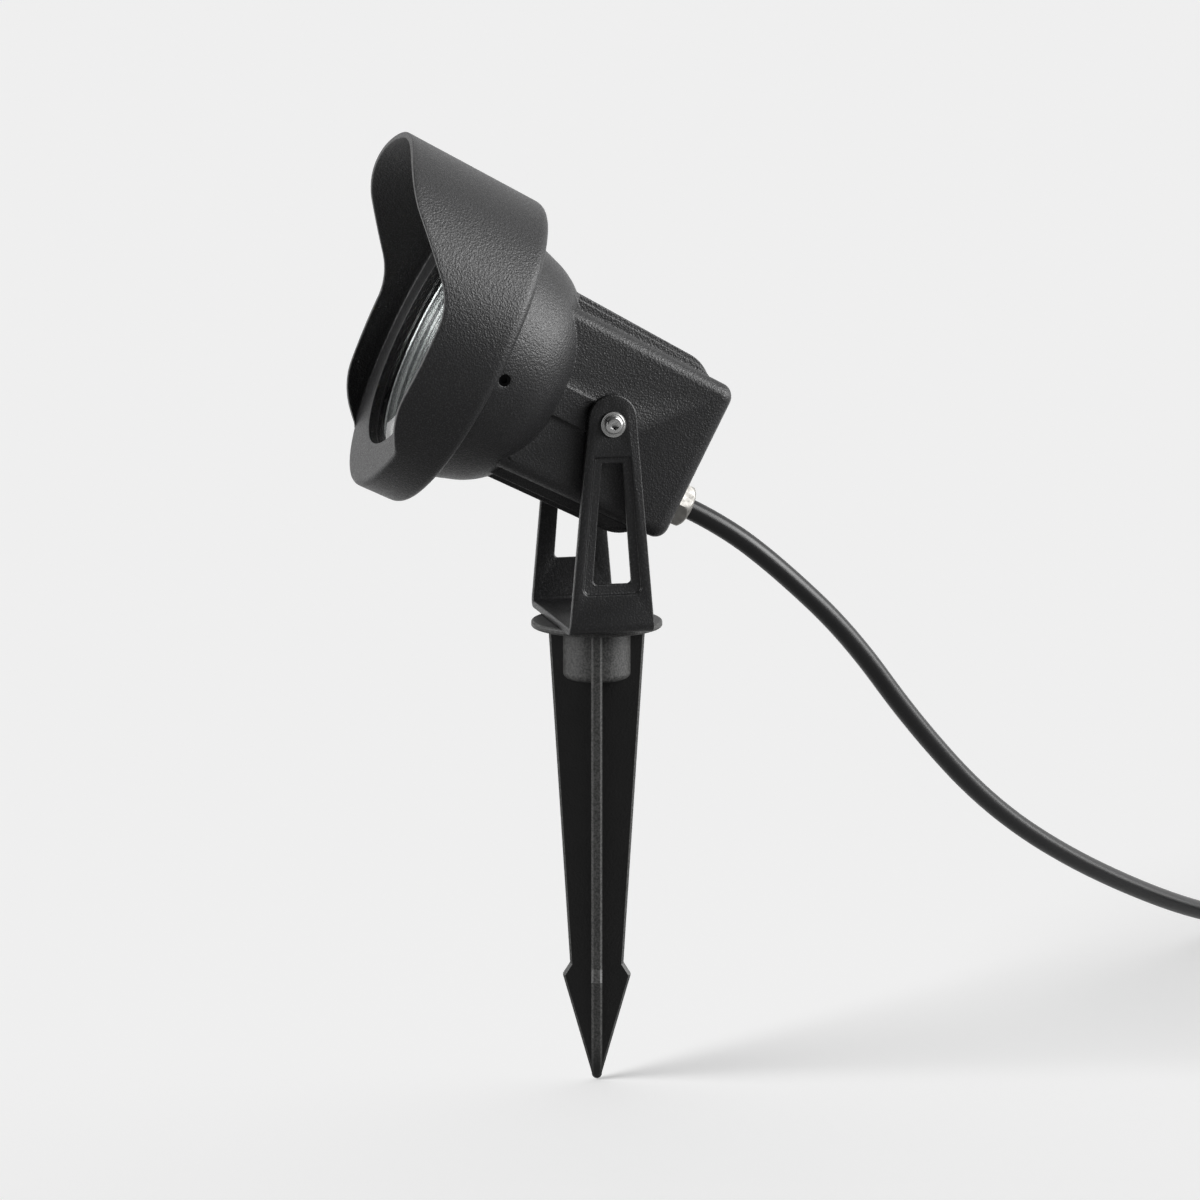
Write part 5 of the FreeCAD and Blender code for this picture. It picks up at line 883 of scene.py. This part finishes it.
def make_washers():
    """Toothed lock washers inside the ears: a flat ring with a crown of small twisted teeth."""
    sizes = {"Teeth": WASHER_TEETH, "Middle Radius": WASHER_RING * MM,
             "Ring Width": WASHER_WIDTH * MM, "Thickness": WASHER_THICKNESS * MM,
             "Tooth Radius": WASHER_TOOTH_RADIUS * MM, "Place": WASHER_PLACE * MM}
    tree, size = new_rule("toothed_washers", sizes)
    line = add(tree, "GeometryNodeCurvePrimitiveCircle", {
        "Resolution": WASHER_FACETS, "Radius": size["Middle Radius"]})
    strip = add(tree, "GeometryNodeCurvePrimitiveQuadrilateral", {
        "Width": size["Ring Width"], "Height": size["Thickness"]})
    ring = add(tree, "GeometryNodeCurveToMesh", {
        "Curve": line.outputs["Curve"], "Profile Curve": strip.outputs[0], "Fill Caps": True})
    stations = add(tree, "GeometryNodeCurvePrimitiveCircle", {
        "Resolution": size["Teeth"], "Radius": size["Tooth Radius"]})
    tooth_size = add(tree, "ShaderNodeCombineXYZ", {
        "X": WASHER_TOOTH[0] * MM, "Y": WASHER_TOOTH[1] * MM, "Z": WASHER_TOOTH[2] * MM})
    tooth = add(tree, "GeometryNodeMeshCube", {"Size": tooth_size.outputs[0]})
    tangent = add(tree, "GeometryNodeInputTangent")
    facing = add(tree, "FunctionNodeAlignRotationToVector", {"Vector": tangent.outputs[0]},
                 axis="Y")
    twist = add(tree, "FunctionNodeRotateRotation", {
        "Rotation": facing.outputs[0], "Rotate By": (math.radians(WASHER_TWIST), 0.0, 0.0)},
        rotation_space="LOCAL")
    teeth = add(tree, "GeometryNodeInstanceOnPoints", {
        "Points": stations.outputs["Curve"], "Instance": tooth.outputs["Mesh"],
        "Rotation": twist.outputs[0]})
    washer = add(tree, "GeometryNodeJoinGeometry", {
        "Geometry": [ring.outputs[0], teeth.outputs[0]]})
    upright = add(tree, "GeometryNodeTransform", {
        "Geometry": washer.outputs[0], "Rotation": (0.0, math.pi / 2, 0.0)})
    whole = add(tree, "GeometryNodeRealizeInstances", {"Geometry": upright.outputs[0]})
    span = add(tree, "ShaderNodeMath", {0: size["Place"], 1: 2.0}, operation="MULTIPLY")
    first = add(tree, "ShaderNodeMath", {0: size["Place"], 1: -1.0}, operation="MULTIPLY")
    start = add(tree, "ShaderNodeCombineXYZ", {"X": first.outputs[0]})
    step = add(tree, "ShaderNodeCombineXYZ", {"X": span.outputs[0]})
    sides = add(tree, "GeometryNodeMeshLine", {
        "Count": 2, "Start Location": start.outputs[0], "Offset": step.outputs[0]})
    pair = add(tree, "GeometryNodeInstanceOnPoints", {
        "Points": sides.outputs[0], "Instance": whole.outputs[0]})
    grow("lock_washers", tree, sizes, pair.outputs[0], HEAD, "pivot_washers", sharp_from=30.0)


def make_boot(place):
    """Strain relief of the plug: a tapered core with a row of round ribs that grow to the plug."""
    sizes = {"Ribs": BOOT_RIBS, "Pitch": BOOT_PITCH * MM, "Thin End": BOOT_END * MM,
             "Thick End": BOOT_ROOT * MM, "Length": BOOT_LENGTH * MM,
             "Rib Radius": BOOT_RIB_RADIUS * MM}
    tree, size = new_rule("ribbed_boot", sizes)
    core = add(tree, "GeometryNodeMeshCone", {
        "Vertices": BOOT_FACETS, "Radius Top": size["Thick End"],
        "Radius Bottom": size["Thin End"], "Depth": size["Length"]})
    step = add(tree, "ShaderNodeCombineXYZ", {"Z": size["Pitch"]})
    line = add(tree, "GeometryNodeMeshLine", {
        "Count": size["Ribs"], "Start Location": (0.0, 0.0, BOOT_FIRST_RIB * MM),
        "Offset": step.outputs[0]})
    position = add(tree, "GeometryNodeInputPosition").outputs[0]
    height = add(tree, "ShaderNodeSeparateXYZ", {"Vector": position})
    radius = add(tree, "ShaderNodeMapRange", {
        "Value": height.outputs["Z"], "From Min": 0.0, "From Max": size["Length"],
        "To Min": size["Thin End"], "To Max": size["Thick End"]})
    loop = add(tree, "GeometryNodeCurvePrimitiveCircle", {
        "Resolution": BOOT_FACETS, "Radius": 1.0})
    rounds = add(tree, "GeometryNodeInstanceOnPoints", {
        "Points": line.outputs[0], "Instance": loop.outputs["Curve"], "Scale": radius.outputs[0]})
    loops = add(tree, "GeometryNodeRealizeInstances", {"Geometry": rounds.outputs[0]})
    section = add(tree, "GeometryNodeCurvePrimitiveCircle", {
        "Resolution": BOOT_RIB_FACETS, "Radius": size["Rib Radius"]})
    ribs = add(tree, "GeometryNodeCurveToMesh", {
        "Curve": loops.outputs[0], "Profile Curve": section.outputs["Curve"]})
    boot = add(tree, "GeometryNodeJoinGeometry", {
        "Geometry": [core.outputs["Mesh"], ribs.outputs[0]]})
    return grow("ribbed_boot", tree, sizes, boot.outputs[0], place, "plug_boot", sharp_from=40.0)


# --------------------------------------------------------------------------- hood
def edge_reach(height):
    """Reach of the visor's edge at a height above the lamp axis, in millimetres."""
    if height <= VISOR_EDGE[0][0]:
        return VISOR_EDGE[0][1]
    for (v0, s0, *_), (v1, s1, radius, hollow) in zip(VISOR_EDGE, VISOR_EDGE[1:]):
        if height > v1:
            continue
        if radius is None:
            return s0 + (s1 - s0) * (height - v0) / (v1 - v0)
        half = Vector((v1 - v0, s1 - s0)) / 2
        rise = math.sqrt(radius ** 2 - half.length_squared)
        ahead = Vector((-half.y, half.x)).normalized() * (rise if hollow else -rise)
        centre = Vector((v0, s0)) + half + ahead
        depth = math.sqrt(radius ** 2 - (height - centre.x) ** 2)
        return centre.y - depth if hollow else centre.y + depth
    return VISOR_EDGE[-1][1]


def hood_radius_at(reach):
    """Outer radius of the hood, which flares a little towards its front."""
    return HOOD_RADIUS + HOOD_FLARE * (reach - HOOD_REAR) / (HOOD_REACH - HOOD_REAR)


def rounded(before, corner, after, steps=CORNER_STEPS):
    """Points that round a corner from one point beside it to another."""
    points = []
    for k in range(steps + 1):
        t = k / steps
        points.append(before * (1 - t) ** 2 + corner * 2 * t * (1 - t) + after * t ** 2)
    return points


def spread(start, stop, count):
    """Points between two points, without the two."""
    return [start + (stop - start) * (k + 1) / (count + 1) for k in range(count)]


def hood_section(angle):
    """Closed section of the hood at an angle round the lamp axis, as (radius, reach)."""
    sine = math.sin(angle)
    # The flare lets the radius depend on the reach, so a first guess of the reach gives the second.
    reach = edge_reach(hood_radius_at(BEZEL_FACE) * sine)
    reach = edge_reach(hood_radius_at(reach) * sine)
    outer = hood_radius_at(reach)
    inner = outer - VISOR_WALL
    inner_reach = max(edge_reach(inner * sine), BEZEL_FACE)
    rise = inner_reach - BEZEL_FACE
    share = min(rise / LIP_FADE, 1.0)
    ease = LOWER_LIP_ROUND + (VISOR_EASE - LOWER_LIP_ROUND) * share
    inner_ease = min(VISOR_EASE, rise / 2)
    root = min(VISOR_ROOT, rise / 2)
    rim = Vector((outer, reach))
    rim_inner = Vector((inner, inner_reach))
    along = (rim_inner - rim).normalized()
    foot = Vector((hood_radius_at(BEZEL_FACE) - VISOR_WALL, BEZEL_FACE))
    rear = Vector((hood_radius_at(HOOD_REAR + HOOD_EDGE_ROUND), HOOD_REAR + HOOD_EDGE_ROUND))
    rear_flat = Vector((HOOD_RADIUS - HOOD_EDGE_ROUND, HOOD_REAR))
    wall_end = rim - Vector((0.0, ease))
    points = [Vector((HOOD_THREAD, GLASS_SEAT)), Vector((HOOD_THREAD, HOOD_REAR))]
    points += rounded(rear_flat, Vector((HOOD_RADIUS, HOOD_REAR)), rear, HOOD_REAR_STEPS)
    points += spread(rear, wall_end, HOOD_OUTER_STEPS)
    points += rounded(wall_end, rim, rim + along * ease, HOOD_RIM_STEPS)
    inner_start = rim_inner - Vector((0.0, inner_ease))
    points += rounded(rim_inner - along * inner_ease, rim_inner, inner_start)
    foot_start = foot + Vector((0.0, root))
    foot_end = foot - Vector((root, 0.0))
    points += spread(inner_start, foot_start, HOOD_INNER_STEPS)
    points += rounded(foot_start, foot, foot_end)
    face = Vector((APERTURE, BEZEL_FACE))
    face_start = face + Vector((BEZEL_EASE, 0.0))
    points += spread(foot_end, face_start, HOOD_FACE_STEPS)
    points += rounded(face_start, face, face - Vector((0.0, BEZEL_EASE)))
    points.append(Vector((APERTURE, BEZEL_FACE - BEZEL_LIP)))
    points.append(Vector((GLASS_BORE, BEZEL_FACE - BEZEL_LIP)))
    points.append(Vector((GLASS_BORE, GLASS_SEAT)))
    return points


def make_hood():
    """Turned hood whose front edge follows the scalloped line of the visor."""
    shell = bmesh.new()
    turn(shell, hood_section, HOOD_COLUMNS, HEAD)
    finished("hood_casting", closed_mesh(shell), "hood")


# --------------------------------------------------------------------------- lead
def coil_points(entry, heading):
    """Control points of the coil: in on the ground and out again on top, clockwise from above."""
    right = Vector((heading.y, -heading.x, 0.0))
    begin = entry + heading * LEAD_DIAMETER
    centre = begin + right * (COIL_INNER_RADIUS + COIL_PITCH / 4 * COIL_QUARTERS_IN)
    first = math.atan2(-right.y, -right.x)
    points = []
    quarters = COIL_QUARTERS_IN + COIL_QUARTERS_OUT
    for k in range(quarters * COIL_STEPS + 1):
        quarter = k / COIL_STEPS
        radius = COIL_INNER_RADIUS + COIL_PITCH / 4 * abs(quarter - COIL_QUARTERS_IN)
        climb = min(max((quarter - COIL_QUARTERS_IN + 1) / 2, 0.0), 1.0)
        angle = first - quarter * math.pi / 2
        points.append(Vector((centre.x + radius * math.cos(angle),
                              centre.y + radius * math.sin(angle),
                              entry.z + COIL_PITCH * climb * climb * (3 - 2 * climb))))
    side = Vector((math.sin(angle), -math.cos(angle), 0.0)) * radius * math.pi / 2
    out = Vector((math.cos(angle), math.sin(angle), 0.0)) * COIL_PITCH / 4
    points.append(points[-1] + (side + out).normalized() * LEAD_DIAMETER)
    return points


def make_lead():
    """Round rubber lead from the gland through its coil, and the plug's boot on its end."""
    route = [Vector(point) for point in LEAD_ROUTE]
    route += coil_points(route[-1], (route[-1] - route[-2]).normalized())
    data = bpy.data.curves.new("lead", "CURVE")
    data.dimensions = "3D"
    spline = data.splines.new("NURBS")
    spline.points.add(len(route) - 1)
    for point, place in zip(spline.points, route):
        point.co = (*(place * MM), 1.0)
    spline.order_u = 3
    spline.use_endpoint_u = True
    spline.resolution_u = LEAD_ROWS
    line = applied(place_in_scene("lead_line", data.copy()))
    data.bevel_depth = LEAD_DIAMETER / 2 * MM
    data.bevel_resolution = LEAD_ROUNDNESS
    data.use_fill_caps = True
    shell = bmesh.new()
    shell.from_mesh(applied(place_in_scene("lead_tube", data)))
    mesh = closed_mesh(shell)
    coat(mesh, "lead_rubber")
    mesh.name = "lead"
    lead = place_in_scene("lead", mesh)
    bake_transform(lead)
    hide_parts("cable", "cable_coil")
    heading = (route[-1] - route[-2]).normalized().to_track_quat("Z", "Y")
    boot = make_boot(Matrix.Translation(route[-1] * MM) @ heading.to_matrix().to_4x4())


# --------------------------------------------------------------------------- the whole lamp
make_camera()
make_lead()
dress_frame()
make_hood()
make_screws()
make_gland_nut()
make_reflector()
make_washers()
for node, (width, steps) in EASED.items():
    ease_edges(node, width, steps)
make_world()
floor = make_floor()
for name, (direction, strength, width, state) in SOFTBOXES.items():
    link_light(make_softbox(name, Vector(direction), strength, width), floor, state)
bpy.context.scene.view_settings.view_transform = "Standard"
